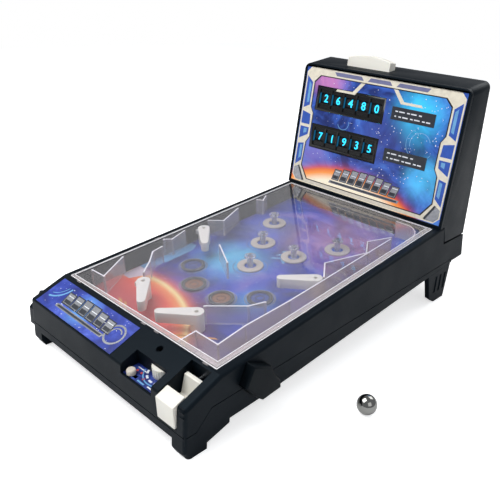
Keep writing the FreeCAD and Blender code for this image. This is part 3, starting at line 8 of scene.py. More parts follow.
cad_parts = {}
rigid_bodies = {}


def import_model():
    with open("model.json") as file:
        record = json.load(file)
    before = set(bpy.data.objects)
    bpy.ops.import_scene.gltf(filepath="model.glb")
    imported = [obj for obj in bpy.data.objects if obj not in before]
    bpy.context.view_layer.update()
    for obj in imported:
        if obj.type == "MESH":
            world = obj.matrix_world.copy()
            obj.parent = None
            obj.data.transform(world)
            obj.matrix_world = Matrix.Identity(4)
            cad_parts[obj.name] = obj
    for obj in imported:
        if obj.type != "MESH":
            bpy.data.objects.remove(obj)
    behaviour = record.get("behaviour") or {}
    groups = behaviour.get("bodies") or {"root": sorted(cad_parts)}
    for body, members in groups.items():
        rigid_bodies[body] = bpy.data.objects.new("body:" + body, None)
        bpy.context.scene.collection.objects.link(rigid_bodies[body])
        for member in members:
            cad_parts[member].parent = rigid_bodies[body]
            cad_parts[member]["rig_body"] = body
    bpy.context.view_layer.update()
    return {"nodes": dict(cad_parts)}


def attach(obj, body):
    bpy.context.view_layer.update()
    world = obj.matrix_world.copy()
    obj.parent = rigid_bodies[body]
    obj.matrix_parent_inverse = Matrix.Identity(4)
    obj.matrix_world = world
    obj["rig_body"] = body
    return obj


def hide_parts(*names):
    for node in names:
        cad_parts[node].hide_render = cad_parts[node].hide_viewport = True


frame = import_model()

# A tabletop pinball game: dark moulded case, printed play floor under a clear cover, lit score drums.
# Metres, in the frame of the CAD. Sizes on the sloping deck and on the backbox face are in millimetres.


MILLIMETRES = Matrix.Scale(0.001, 4)

# Planes of the object

DECK_TILT = math.radians(5.95)
DECK_FOOT = (37.5 - 232, 64.9)
FACE_LEAN = math.radians(6.2)
FACE_FOOT = (156.8, 101.51)
APRON_TILT = math.atan2(15.4, 37.5)
APRON_FOOT = (-232, 49.5)


def on_plane(foot, tilt):
    """A matrix from millimetres on a plane tilted about X to metres in the frame."""
    place = Matrix.Translation((0, foot[0] / 1000, foot[1] / 1000))
    return place @ Matrix.Rotation(tilt, 4, "X") @ MILLIMETRES


DECK = on_plane(DECK_FOOT, DECK_TILT)
APRON = on_plane(APRON_FOOT, APRON_TILT)
FACE = on_plane(FACE_FOOT, -FACE_LEAN) @ Matrix.Rotation(math.pi / 2, 4, "X")
FLOOR_LEVEL = -23

# Seed of the sizes that repeated shapes take
SIZE_SEED = 3

# Helpers


def tone(code):
    """A linear colour from its sRGB hex code."""
    parts = [int(code[place:place + 2], 16) / 255 for place in (0, 2, 4)]
    linear = [part / 12.92 if part <= 0.04045 else ((part + 0.055) / 1.055) ** 2.4 for part in parts]
    return (*linear, 1.0)


def add(tree, kind, inputs=None, **settings):
    """Add a node with its settings, and its inputs as values or as sockets to link."""
    item = tree.nodes.new(kind)
    for name, value in settings.items():
        setattr(item, name, value)
    for key, value in (inputs or {}).items():
        if isinstance(value, bpy.types.NodeSocket):
            tree.links.new(value, item.inputs[key])
        else:
            item.inputs[key].default_value = value
    return item


def surface(name, code, roughness, **sockets):
    """A material with one shader, its colour and its roughness. Gives the material, tree and shader."""
    item = bpy.data.materials.new(name)
    item.use_nodes = True
    tree = item.node_tree
    shader = tree.nodes["Principled BSDF"]
    shader.inputs["Base Color"].default_value = tone(code)
    shader.inputs["Roughness"].default_value = roughness
    for key, value in sockets.items():
        shader.inputs[key.replace("_", " ")].default_value = value
    return item, tree, shader


def ramp(tree, factor, stops):
    """A colour ramp over a factor, by (place, hex code) stops."""
    item = add(tree, "ShaderNodeValToRGB", {"Fac": factor})
    bar = item.color_ramp
    while len(bar.elements) < len(stops):
        bar.elements.new(0.5)
    for element, (place, code) in zip(bar.elements, stops):
        element.position = place
        element.color = tone(code)
    return item.outputs["Color"]


def mix(tree, factor, one, other, blend="MIX"):
    """One colour over another."""
    item = add(tree, "ShaderNodeMix", data_type="RGBA", blend_type=blend)
    for key, value in ((0, factor), (6, one), (7, other)):
        if isinstance(value, bpy.types.NodeSocket):
            tree.links.new(value, item.inputs[key])
        else:
            item.inputs[key].default_value = value
    return item.outputs[2]


def grain(tree, shader, size, strength):
    """Fine moulded grain, as bumps of a size in millimetres."""
    place = add(tree, "ShaderNodeTexCoord")
    bumps = add(tree, "ShaderNodeTexNoise", {"Vector": place.outputs["Object"], "Scale": 1000 / size,
                                             "Detail": 2.0})
    bump = add(tree, "ShaderNodeBump", {"Height": bumps.outputs["Fac"], "Strength": strength,
                                        "Distance": size / 4000})
    tree.links.new(bump.outputs["Normal"], shader.inputs["Normal"])
    patches = add(tree, "ShaderNodeTexNoise", {"Vector": place.outputs["Object"], "Scale": 28.0,
                                               "Detail": 3.0})
    rough = shader.inputs["Roughness"].default_value
    spread = add(tree, "ShaderNodeMapRange", {"Value": patches.outputs["Fac"], "From Min": 0.3,
                                              "From Max": 0.7, "To Min": rough - 0.04,
                                              "To Max": rough + 0.05})
    tree.links.new(spread.outputs["Result"], shader.inputs["Roughness"])


def piece(name, mesh, material, body="case"):
    """An object made of a mesh in place, riding on a body of the frame."""
    item = bpy.data.objects.new(name, mesh)
    bpy.context.scene.collection.objects.link(item)
    mesh.materials.clear()
    mesh.materials.append(material)
    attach(item, body)
    return item


def shaped(name, build, plane):
    """A flat shaded mesh from bmesh code, moved from a plane's millimetres to its place."""
    work = bmesh.new()
    build(work)
    bmesh.ops.transform(work, matrix=plane, verts=work.verts)
    bmesh.ops.recalc_face_normals(work, faces=work.faces)
    mesh = bpy.data.meshes.new(name)
    work.to_mesh(mesh)
    work.free()
    for face in mesh.polygons:
        face.use_smooth = False
    return mesh


def rectangle(left, low, right, high):
    """Outline of a rectangle between two corners."""
    return [(left, low), (right, low), (right, high), (left, high)]


def slab(work, outline, low, high):
    """A plate with an outline, between two levels."""
    bottom = [work.verts.new((x, y, low)) for x, y in outline]
    top = [work.verts.new((x, y, high)) for x, y in outline]
    work.faces.new(list(reversed(bottom)))
    work.faces.new(top)
    for step in range(len(outline)):
        after = (step + 1) % len(outline)
        work.faces.new((bottom[step], bottom[after], top[after], top[step]))


def evaluated(item):
    """The mesh that an object's modifiers give, with the object removed."""
    graph = bpy.context.evaluated_depsgraph_get()
    mesh = bpy.data.meshes.new_from_object(item.evaluated_get(graph))
    bpy.data.objects.remove(item)
    return mesh


def loose(data):
    """An object for a mesh, curve, lamp or camera, in the scene but on no body yet."""
    item = bpy.data.objects.new(data.name, data)
    bpy.context.scene.collection.objects.link(item)
    return item


def softened(node, material, width, segments=2, smooth=True):
    """A copy of a CAD solid with its sharp edges rounded, shown in its place."""
    source = frame["nodes"][node]
    work = bmesh.new()
    work.from_mesh(source.data)
    bmesh.ops.remove_doubles(work, verts=work.verts, dist=0.00002)
    bmesh.ops.dissolve_limit(work, angle_limit=math.radians(1), verts=work.verts, edges=work.edges)
    mesh = bpy.data.meshes.new(node + "_skin")
    work.to_mesh(mesh)
    work.free()
    item = loose(mesh)
    bevel = item.modifiers.new("Edges", "BEVEL")
    bevel.width = width / 1000
    bevel.segments = segments
    bevel.limit_method = "ANGLE"
    bevel.angle_limit = math.radians(35)
    bevel.harden_normals = smooth
    for face in mesh.polygons:
        face.use_smooth = smooth
    skin = piece(node + "_skin", evaluated(item), material, source["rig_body"])
    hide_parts(node)


def repeated(name, plane, places, shape, material, sizes=(1.0, 1.0)):
    """Copies of a shape standing on a plane, with sizes between two limits, joined into one piece."""
    tree = bpy.data.node_groups.new(name, "GeometryNodeTree")
    kinds = (("Geometry", "NodeSocketGeometry"), ("Shape", "NodeSocketObject"),
             ("Smallest", "NodeSocketFloat"), ("Largest", "NodeSocketFloat"), ("Turn", "NodeSocketVector"),
             ("Seed", "NodeSocketInt"), ("Finish", "NodeSocketMaterial"))
    names = {}
    for label, kind in kinds:
        names[label] = tree.interface.new_socket(label, in_out="INPUT", socket_type=kind).identifier
    tree.interface.new_socket("Geometry", in_out="OUTPUT", socket_type="NodeSocketGeometry")
    given = add(tree, "NodeGroupInput").outputs
    model = add(tree, "GeometryNodeObjectInfo", {"Object": given["Shape"]})
    size = add(tree, "FunctionNodeRandomValue", {2: given["Smallest"], 3: given["Largest"],
                                                 "Seed": given["Seed"]})
    rows = add(tree, "GeometryNodeInstanceOnPoints",
               {"Points": given["Geometry"], "Instance": model.outputs["Geometry"], "Rotation": given["Turn"],
                "Scale": size.outputs[1]})
    real = add(tree, "GeometryNodeRealizeInstances", {"Geometry": rows.outputs["Instances"]})
    done = add(tree, "GeometryNodeSetMaterial", {"Geometry": real.outputs["Geometry"],
                                                 "Material": given["Finish"]})
    add(tree, "NodeGroupOutput", {"Geometry": done.outputs["Geometry"]})
    points = bpy.data.meshes.new(name)
    points.from_pydata([tuple(plane @ Vector(place)) for place in places], [], [])
    maker = loose(points)
    pattern = loose(shape)
    work = maker.modifiers.new("Repeat", "NODES")
    work.node_group = tree
    for label, value in (("Shape", pattern), ("Smallest", sizes[0]), ("Largest", sizes[1]),
                         ("Turn", tuple(plane.to_euler())), ("Seed", SIZE_SEED), ("Finish", material)):
        work[names[label]] = value
    made = evaluated(maker)
    bpy.data.objects.remove(pattern)
    return piece(name, made, material)


def place_on(tree, plane):
    """Millimetres on a plane, as a vector for a pattern."""
    inverse = plane.inverted()
    here = add(tree, "ShaderNodeTexCoord")
    moved = add(tree, "ShaderNodeMapping", {"Vector": here.outputs["Object"],
                                            "Location": inverse.to_translation(),
                                            "Rotation": inverse.to_euler(), "Scale": inverse.to_scale()})
    return moved.outputs["Vector"]


def clouds(tree, place, size, detail=6.0):
    """Soft cloud values from 0 to 1 at a size in millimetres."""
    wide = add(tree, "ShaderNodeVectorMath", {0: place, 1: [1 / size] * 3}, operation="MULTIPLY")
    return add(tree, "ShaderNodeTexNoise", {"Vector": wide.outputs[0], "Scale": 1.0, "Detail": detail,
                                            "Roughness": 0.6, "Distortion": 0.6}).outputs["Fac"]


def spot(tree, place, centre, near, far):
    """A round glow that fades from 1 at one distance to 0 at another, in millimetres."""
    away = add(tree, "ShaderNodeVectorMath", {0: place, 1: centre}, operation="DISTANCE")
    return add(tree, "ShaderNodeMapRange", {"Value": away.outputs["Value"], "From Min": near,
                                            "From Max": far, "To Min": 1.0, "To Max": 0.0},
               interpolation_type="SMOOTHSTEP").outputs["Result"]


def times(tree, one, other):
    return add(tree, "ShaderNodeMath", {0: one, 1: other}, operation="MULTIPLY").outputs[0]


def glowing(tree, place, sky, wisps, glows):
    """A sky with glows in it, each by its centre, near and far distance, hex code and strength."""
    for centre, near, far, code, strength in glows:
        glow = times(tree, spot(tree, place, centre, near, far), times(tree, wisps, 1.5 * strength))
        sky = mix(tree, glow, sky, tone(code))
    return sky


# The play well on the deck, in millimetres: half its width, its front edge and its length
HALF = 108.2
FRONT = 5.5
LENGTH = 341.1


def deck_spot(share_x, share_y):
    return (share_x * HALF, FRONT + share_y * LENGTH, FLOOR_LEVEL)


BUMPERS = [deck_spot(*shares) for shares in ((-0.13, 0.476), (0.086, 0.617), (-0.386, 0.623),
                                             (-0.633, 0.768), (0.333, 0.758))]
DISHES = [deck_spot(*shares) for shares in ((-0.582, 0.35), (-0.287, 0.274), (0.102, 0.276),
                                            (0.375, 0.355))]

# Finishes

# Moulded ABS, charcoal: satin, with a fine spark-eroded grain that softens its highlights. Its reflections
# are tinted blue, a painted tint of the bluish light that falls on it
case_plastic, tree, shader = surface("abs_charcoal_moulded", "0a1016", 0.44, Specular_IOR_Level=0.13,
                                      Specular_Tint=tone("b2cbdc"))
grain(tree, shader, 0.7, 0.3)

# The same ABS on the buttons, a little glossier from handling, with the same painted blue tint in its
# reflections
button_plastic, tree, shader = surface("abs_charcoal_button", "060a0e", 0.45, Specular_IOR_Level=0.12,
                                        Specular_Tint=tone("b2cbdc"))
grain(tree, shader, 0.7, 0.22)

# Polystyrene, warm white: moulded smooth, with a slight depth of colour
white_plastic, tree, shader = surface("polystyrene_warm_white", "e9e6dc", 0.34, Subsurface_Weight=0.08,
                                      Subsurface_Radius=(0.004, 0.003, 0.002), Subsurface_Scale=0.6)
grain(tree, shader, 1.2, 0.06)

# Polystyrene, cream: the bumper rings
cream_plastic, tree, shader = surface("polystyrene_cream", "c4bcb0", 0.38)
grain(tree, shader, 0.8, 0.1)

# Acetal, natural grey: the hidden cranks, push bars and lamps
inner_plastic, tree, shader = surface("acetal_grey", "8c8f92", 0.45)
grain(tree, shader, 0.8, 0.1)

# Steel, polished and bright: the springs and the launcher rod
steel, tree, shader = surface("steel_polished", "c9cbcd", 0.09, Metallic=1.0)
grain(tree, shader, 6.0, 0.02)

# Bearing steel, ground and polished: the ball. Its colour is a little darker than plated parts, painted shade
# for the darker surroundings that it reflects
ball_steel, tree, shader = surface("steel_bearing_polished", "8f8f8c", 0.08, Metallic=1.0)
grain(tree, shader, 8.0, 0.015)

# Steel, zinc-plated: screws, contacts and drum axles
zinc, tree, shader = surface("steel_zinc_plated", "b7bac0", 0.3, Metallic=1.0)
grain(tree, shader, 0.5, 0.08)

# Black styrene of the score windows, also used for the dark plates of painted shade in front of the drums:
# smooth and dark
window_plastic, tree, shader = surface("styrene_black", "07080a", 0.22)
grain(tree, shader, 1.0, 0.05)

# Score drums: black matt styrene
drum_plastic, tree, shader = surface("styrene_black_matt", "040809", 0.5)
grain(tree, shader, 0.7, 0.1)

# Numbers on the drums: a lamp inside shines blue-green through a thin print
digit_light, tree, shader = surface("print_lit_cyan", "2cc7ee", 0.5, Emission_Strength=1.3)
shader.inputs["Emission Color"].default_value = tone("1fc4f5")
grain(tree, shader, 1.0, 0.05)

# Shrink sleeve on the cells
sleeve, tree, shader = surface("pvc_sleeve_green", "1d4a38", 0.3)
grain(tree, shader, 2.0, 0.05)

# Black paper: the speaker takes it all over, its steel basket too
cone, tree, shader = surface("paper_black", "101112", 0.8)
grain(tree, shader, 0.5, 0.3)

# Glass-fibre board with green lacquer
board, tree, shader = surface("board_green_lacquer", "0f4a2a", 0.35)
grain(tree, shader, 0.6, 0.08)


def clear(name, code, haze, edge, broad_is_flat, roughness=0.05):
    """Clear polystyrene: see-through on its broad faces, with a painted highlight on the edges that gather
    light, which turn milky white.

    The broad faces of a sheet lie along the deck, and those of an upright wall stand on it.
    """
    item, tree, shader = surface(name, code, roughness, IOR=1.49, Transmission_Weight=1.0)
    facing = add(tree, "ShaderNodeNewGeometry")
    normal = DECK.to_3x3().normalized() @ Vector((0, 0, 1))
    lean = add(tree, "ShaderNodeVectorMath", {0: facing.outputs["Normal"], 1: normal},
               operation="DOT_PRODUCT")
    flatness = add(tree, "ShaderNodeMath", {0: lean.outputs["Value"]}, operation="ABSOLUTE")
    ends = (edge, haze) if broad_is_flat else (haze, edge)
    # Painted highlight: the edge faces take the milky white share given by edge, the broad faces only the
    # haze
    haze_and_edge_highlight = add(tree, "ShaderNodeMapRange", {"Value": flatness.outputs[0], "From Min": 0.35, "From Max": 0.9,
                                            "To Min": ends[0], "To Max": ends[1]})
    clearness = add(tree, "ShaderNodeMath", {0: 1.0, 1: haze_and_edge_highlight.outputs["Result"]}, operation="SUBTRACT")
    tree.links.new(clearness.outputs[0], shader.inputs["Transmission Weight"])
    ripple = add(tree, "ShaderNodeTexCoord")
    waves = add(tree, "ShaderNodeTexNoise", {"Vector": ripple.outputs["Object"], "Scale": 60.0,
                                             "Detail": 1.0})
    bump = add(tree, "ShaderNodeBump", {"Height": waves.outputs["Fac"], "Strength": 0.03,
                                        "Distance": 0.001})
    tree.links.new(bump.outputs["Normal"], shader.inputs["Normal"])
    rays = add(tree, "ShaderNodeLightPath")
    dim = add(tree, "ShaderNodeMath", {0: rays.outputs["Is Shadow Ray"], 1: rays.outputs["Is Diffuse Ray"]},
              operation="MAXIMUM")
    passed = times(tree, dim.outputs[0], clearness.outputs[0])
    through = add(tree, "ShaderNodeBsdfTransparent", {"Color": tone("f4f4f6")})
    both = add(tree, "ShaderNodeMixShader", {"Fac": passed, 1: shader.outputs[0], 2: through.outputs[0]})
    tree.links.new(both.outputs[0], tree.nodes["Material Output"].inputs["Surface"])
    return item


# Clear polystyrene sheet for the cover, and moulded clear polystyrene for the guides and posts
cover_plastic = clear("polystyrene_clear_sheet", "f4f2f6", 0.02, 0.6, True)
guide_plastic = clear("polystyrene_clear_guides", "f2f0f2", 0.16, 0.75, False)
lane_plastic = clear("polystyrene_clear_lane", "f4e4de", 0.3, 0.85, False)
post_plastic = clear("polystyrene_clear_posts", "f0f0f4", 0.1, 0.2, True, 0.04)

# Frosted edge of the cover: where it is cemented down it reads as a pale band
band_plastic, tree, shader = surface("polystyrene_frosted", "e6dddc", 0.3, Alpha=0.28)
grain(tree, shader, 1.5, 0.1)

# Painted highlight: white lines with a faint glow on the edges of the clear parts, where they gather light
painted_edge_highlight, tree, shader = surface("polystyrene_clear_edge", "f4f4f8", 0.25, Emission_Strength=0.05)
grain(tree, shader, 1.5, 0.05)

# Printed play floor: varnished paper with a plain sky of soft clouds, and a warm sun arc at its front
floor_print, tree, shader = surface("print_varnished_floor", "3f4f9f", 0.32)
place = place_on(tree, DECK)
sky = ramp(tree, clouds(tree, place, 75), ((0.3, "060a2e"), (0.43, "142580"), (0.55, "2f46ba"),
                                           (0.68, "8a70bc"), (0.8, "e2b4c8")))
sky = glowing(tree, place, sky, clouds(tree, place, 28, 4.0),
              (((-40, 165, FLOOR_LEVEL), 8, 62, "58c3ea", 1.0),
               ((38, 120, FLOOR_LEVEL), 2, 34, "3f9fe6", 0.8),
               ((20, 285, FLOOR_LEVEL), 20, 90, "c79ac2", 0.85),
               ((-70, 250, FLOOR_LEVEL), 5, 50, "7d8fe0", 0.6)))
sun = spot(tree, place, (-62, -46, FLOOR_LEVEL), 70, 178)
sky = mix(tree, ramp(tree, sun, ((0.0, "000000"), (0.3, "8a8a8a"), (0.5, "ffffff"))), sky,
          ramp(tree, sun, ((0.1, "6a4a8c"), (0.3, "c4403c"), (0.43, "f0703a"), (0.5, "fbe29a"),
                           (0.58, "f08a48"), (0.72, "e24a34"), (1.0, "b83438"))))
tree.links.new(sky, shader.inputs["Base Color"])

# Printed backglass: the same sky, brighter, with a warm horizon. The print also glows faintly in its own
# colours, painted light
glass_print, tree, shader = surface("print_backglass", "2a4bb0", 0.2, Emission_Strength=0.12)
place = place_on(tree, FACE)
sky = ramp(tree, clouds(tree, place, 60), ((0.3, "0a1030"), (0.42, "1b2e6e"), (0.53, "355cb8"),
                                           (0.64, "5590e0"), (0.8, "d8a4c4")))
sky = glowing(tree, place, sky, clouds(tree, place, 30, 5.0),
              (((60, 124, -1), 2, 50, "3fc4f6", 1.5), ((84, 52, -1), 2, 40, "4fc0f6", 1.2),
               ((-76, 146, -1), 4, 40, "c07ab4", 1.3), ((20, 92, -1), 4, 60, "3a3f80", 0.9),
               ((-84, 50, -1), 4, 40, "7d6ab8", 0.9)))
horizon = spot(tree, place, (-24, -150, -1), 158, 208)
sky = mix(tree, ramp(tree, horizon, ((0.0, "000000"), (0.25, "a0a0a0"), (0.45, "ffffff"))), sky,
          ramp(tree, horizon, ((0.1, "7a3f8a"), (0.36, "e0502e"), (0.6, "fb9c48"), (0.86, "fff2d4"))))
tree.links.new(sky, shader.inputs["Base Color"])
tree.links.new(sky, shader.inputs["Emission Color"])

# Printed strip on the sloping front: deep blue with paler clouds
front_print, tree, shader = surface("print_varnished_front", "2b3f9c", 0.28)
place = place_on(tree, APRON)
sky = ramp(tree, clouds(tree, place, 30), ((0.3, "1a2468"), (0.5, "2c3f9e"), (0.64, "4a5fc4"),
                                           (0.8, "8fa4e6")))
sky = glowing(tree, place, sky, clouds(tree, place, 12), (((-52, 20, 0), 2, 26, "6fb6f0", 0.8),))
tree.links.new(sky, shader.inputs["Base Color"])

# Printed recess floor: darker, with a few paler clouds
legend_print, tree, shader = surface("print_varnished_legend", "17204f", 0.3)
puffs = clouds(tree, place_on(tree, DECK), 16)
sky = ramp(tree, puffs, ((0.35, "0e1640"), (0.55, "1c2c74"), (0.75, "4a66b8")))
tree.links.new(sky, shader.inputs["Base Color"])


def ink(name, code, roughness=0.3, **sockets):
    """A printed colour with the fine mottle of ink on film."""
    item, tree, shader = surface(name, code, roughness, **sockets)
    place = add(tree, "ShaderNodeTexCoord")
    mottle = add(tree, "ShaderNodeTexNoise", {"Vector": place.outputs["Object"], "Scale": 220.0,
                                              "Detail": 4.0})
    shade = ramp(tree, mottle.outputs["Fac"], ((0.3, "ececec"), (0.7, "ffffff")))
    tree.links.new(mix(tree, 1.0, tone(code), shade, "MULTIPLY"), shader.inputs["Base Color"])
    grain(tree, shader, 3.0, 0.04)
    return item


cream_ink = ink("ink_cream", "e8e0cc")
blue_ink = ink("ink_blue", "2f57b4")
lilac_ink = ink("ink_lilac_grey", "74769a")
steel_ink = ink("ink_silver", "a9abb0", 0.24, Metallic=0.55)
dark_ink = ink("ink_dark_grey", "2c3038")
pink_ink = ink("ink_pale_pink", "dccbd6")
sky_ink = ink("ink_sky_blue", "6fa9d8")
white_ink = ink("ink_white", "e8ecf2")
red_ink = ink("ink_red", "c04a4a")
outline_ink = ink("ink_near_black", "15171d")
amber_ink = ink("ink_amber", "d79a4a")

# Dishes: glossy black styrene rims over tinted lenses, with the glow of the lamp under them painted on the
# lenses
rim_plastic, tree, shader = surface("styrene_black_glossy", "060607", 0.2, Coat_Weight=0.1)
grain(tree, shader, 2.0, 0.03)


def lens_rings(tints):
    """Tinted lenses with moulded rings round each dish, the tint by the place across the deck, and painted
    light: lighter in the middle for the lamp under them, darker at the rim for its shade.
    """
    item, tree, shader = surface("styrene_tinted_lenses", "5c4434", 0.14, Coat_Weight=0.5)
    place = place_on(tree, DECK)
    nearest = None
    for centre in DISHES:
        away = add(tree, "ShaderNodeVectorMath", {0: place, 1: centre}, operation="DISTANCE").outputs["Value"]
        if nearest is None:
            nearest = away
        else:
            nearest = add(tree, "ShaderNodeMath", {0: nearest, 1: away}, operation="MINIMUM").outputs[0]
    rings = add(tree, "ShaderNodeMath", {0: times(tree, nearest, 2.6)}, operation="SINE")
    bump = add(tree, "ShaderNodeBump", {"Height": rings.outputs[0], "Strength": 0.5, "Distance": 0.0004})
    tree.links.new(bump.outputs["Normal"], shader.inputs["Normal"])
    # Painted light: each lens is lighter in the middle for the lamp under it, darker at its outer edge for
    # the shade of the rim, with a dark ring between
    middle = add(tree, "ShaderNodeMapRange", {"Value": nearest, "From Min": 1.0, "From Max": 10.5})
    shade = ramp(tree, middle.outputs["Result"], ((0.0, "ffffff"), (0.3, "d8d8d8"), (0.4, "3c3c3c"),
                                                  (0.48, "f0f0f0"), (0.86, "c4c4c4"), (1.0, "303030")))
    across = add(tree, "ShaderNodeSeparateXYZ", {"Vector": place}).outputs["X"]
    share = add(tree, "ShaderNodeMapRange", {"Value": across, "From Min": -HALF, "From Max": HALF})
    tint = ramp(tree, share.outputs["Result"], tints)
    tree.links.new(mix(tree, 1.0, tint, shade, "MULTIPLY"), shader.inputs["Base Color"])
    return item


# CAD pieces with rounded edges, by the width of the rounding in millimetres. The trays are flat shaded.

for node, width in (("upper_case", 0.8), ("lower_case", 0.6), ("rear_legs", 0.6), ("backbox_rear", 0.8),
                    ("backbox_front", 0.8), ("battery_door", 0.3)):
    softened(node, case_plastic, width, 3, smooth=node.startswith("backbox"))
for node in ("left_flipper_button", "right_flipper_button"):
    softened(node, button_plastic, 0.6, 3)
softened("score_frame", window_plastic, 0.3)
for node in ("lower_left_flipper", "lower_right_flipper", "upper_left_flipper", "upper_right_flipper"):
    softened(node, white_plastic, 0.9, 3)
for node, width in (("launcher_lever", 0.8), ("selector_wheel", 0.3), ("reset_button", 0.5)):
    softened(node, white_plastic, width, 3)
softened("switch_knob", cream_plastic, 0.4, 3)
softened("clear_cover", cover_plastic, 0.35, 1, smooth=False)
for node, material in (("right_guides", lane_plastic), ("left_guides", guide_plastic),
                       ("flipper_guides", guide_plastic)):
    softened(node, material, 0.12, 1, smooth=False)
softened("bumper_posts", post_plastic, 0.4, 2)
softened("bumper_rings", cream_plastic, 0.5, 3)

# CAD pieces shown as they are

finishes = {
    "lower_left_crank": inner_plastic, "lower_right_crank": inner_plastic,
    "upper_left_crank": inner_plastic, "upper_right_crank": inner_plastic,
    "left_push_bar": inner_plastic, "right_push_bar": inner_plastic,
    "playfield_panel": floor_print, "apron_panel": front_print, "legend_panel": legend_print,
    "backglass": glass_print, "label_plates": dark_ink, "dish_bezels": rim_plastic, "lamps": inner_plastic,
    "bumper_screws": zinc, "case_screws": zinc, "left_return_spring": steel, "right_return_spring": steel,
    "launcher_spring": steel, "reset_spring": steel, "score_axles": zinc, "launcher_rod": steel,
    "battery_contacts": zinc, "ball": ball_steel, "batteries": sleeve, "speaker": cone,
    "circuit_board": board,
    "dish_lenses": lens_rings(((0.27, "1f3f96"), (0.29, "94603c"), (0.6, "94603c"), (0.62, "1f46a0"))),
}
for row in ("upper", "lower"):
    for number in range(1, 6):
        finishes["%s_drum_%d" % (row, number)] = drum_plastic
for node, material in finishes.items():
    slots = frame["nodes"][node].data.materials
    slots.clear()
    slots.append(material)

# Printed and lit details: their thickness, and that of a second layer on them

LIFT = 0.12
THIN = 0.06


def decal(name, plane, outlines, level, material, body="case", lift=LIFT):
    """Flat printed shapes, a hair above the face that they are printed on."""

    def build(work):
        for outline in outlines:
            slab(work, outline, level, level + lift)

    return piece(name, shaped(name, build, plane), material, body)


def frame_band(name, plane, outer, inner, level, material, lift=LIFT):
    """A flat frame between two outlines with the same number of corners."""

    def build(work):
        count = len(outer)
        for step in range(count):
            after = (step + 1) % count
            slab(work, (outer[step], outer[after], inner[after], inner[step]), level, level + lift)

    return piece(name, shaped(name, build, plane), material)


def disc(x, y, radius, steps=24):
    """Outline of a round print."""
    turns = [2 * math.pi * step / steps for step in range(steps)]
    return [(x + radius * math.cos(turn), y + radius * math.sin(turn)) for turn in turns]


def arc(x, y, radius, width, start, end):
    """Outline of a curved stripe, from one angle to another in degrees."""
    steps = 20
    turns = [math.radians(start + (end - start) * step / steps) for step in range(steps + 1)]
    sides = []
    for reach in (radius, radius - width):
        sides.append([(x + reach * math.cos(turn), y + reach * math.sin(turn)) for turn in turns])
    return sides[0] + sides[1][::-1]


def ring(x, y, radius, width, gap=0):
    """Outlines of the two halves of a ring, with a gap in degrees where they meet."""
    return [arc(x, y, radius, width, gap, 180 - gap), arc(x, y, radius, width, 180 + gap, 360 - gap)]


def flipped(outlines):
    """The same outlines on the other side of the middle."""
    return [[(-x, y) for x, y in reversed(outline)] for outline in outlines]


def both_sides(marks):
    """An outline from its marks on the right side of the middle."""
    return marks + [(-x, y) for x, y in marks[::-1]]


def shrunk(outline, middle, across, along):
    """An outline drawn in towards the middle, by a share across and one along."""
    return [(x * across, middle + (y - middle) * along) for x, y in outline]


# Backglass: a notched cream frame with blue insets, silver corner plates and a row of silver bars
GLASS = -0.8
GLASS_MIDDLE = 82
inner_edge = both_sides([(90, 9.5), (102.5, 27), (101, 60), (96, 68), (96, 100), (101, 108), (101, 142),
                         (92, 151)])
outer_edge = both_sides([(108, 4.8), (115.2, 12), (115.2, 60), (115.2, 68), (115.2, 100), (115.2, 108),
                         (115.2, 153), (108, 160.4)])
frame_band("backglass_border", FACE, outer_edge, inner_edge, GLASS, cream_ink)
frame_band("backglass_line", FACE, inner_edge, shrunk(inner_edge, GLASS_MIDDLE, 0.985, 0.982), GLASS,
           outline_ink)
side_panels = [[(103.4, 34), (113.2, 26), (113.2, 56), (103.4, 58)],
               [(99.5, 70.5), (113.2, 63), (113.2, 80), (98.6, 80)],
               [(98.6, 84), (113.2, 84), (113.2, 101), (99.5, 98)],
               [(103.4, 110), (113.2, 105), (113.2, 148), (103.4, 140)]]
decal("backglass_side_panels", FACE, side_panels + flipped(side_panels), GLASS + LIFT, blue_ink)
panel_shades = [[(105.2, 38), (109, 35), (109, 54), (105.2, 55)],
                [(105.2, 114), (109, 112), (109, 141), (105.2, 137)],
                [(102, 73), (107, 71), (107, 78), (102, 78)]]
decal("backglass_side_shades", FACE, panel_shades + flipped(panel_shades), GLASS + 2 * LIFT, sky_ink,
      lift=THIN)
top_panels = [[(24, 153), (66, 153), (70, 157.8), (28, 157.8)]]
middle_panel = [(-18, 153), (18, 153), (14, 157.8), (-14, 157.8)]
decal("backglass_top_panels", FACE, top_panels + flipped(top_panels) + [middle_panel], GLASS + LIFT,
      lilac_ink)
corner_plates = [[(96, 6.4), (108, 6.4), (113.6, 12), (113.6, 22), (106.5, 26)]]
decal("backglass_corner_plates", FACE, corner_plates + flipped(corner_plates), GLASS + LIFT, steel_ink)
corner_edges = [[(94, 7.4), (96.5, 6.4), (107.4, 25), (105.4, 26.6)]]
decal("backglass_corner_edges", FACE, corner_edges + flipped(corner_edges), GLASS + 2 * LIFT, dark_ink,
      lift=THIN)
struts = [[(20, 151), (26, 151), (38, 137), (34, 134)], [(34, 134), (38, 137), (62, 137), (64, 134)]]
decal("backglass_struts", FACE, struts + flipped(struts), GLASS, cream_ink)


def slanted_bars(left, low, count, pitch, width, heights, slant):
    """A row of bars with different heights, leaning by a slant over 14 mm of height."""
    bars = []
    for number in range(count):
        x = left + pitch * number
        high = heights[number % len(heights)]
        bars.append([(x, low), (x + width, low), (x + width + slant * high / 14, low + high),
                     (x + slant * high / 14, low + high)])
    return bars


def grown(outlines, by):
    """Outlines of four corners, widened all round."""
    wide = []
    for outline in outlines:
        (a, b), (c, d), (e, f), (g, h) = outline
        wide.append([(a - by, b - by), (c + by, d - by), (e + by, f + by), (g - by, h + by)])
    return wide


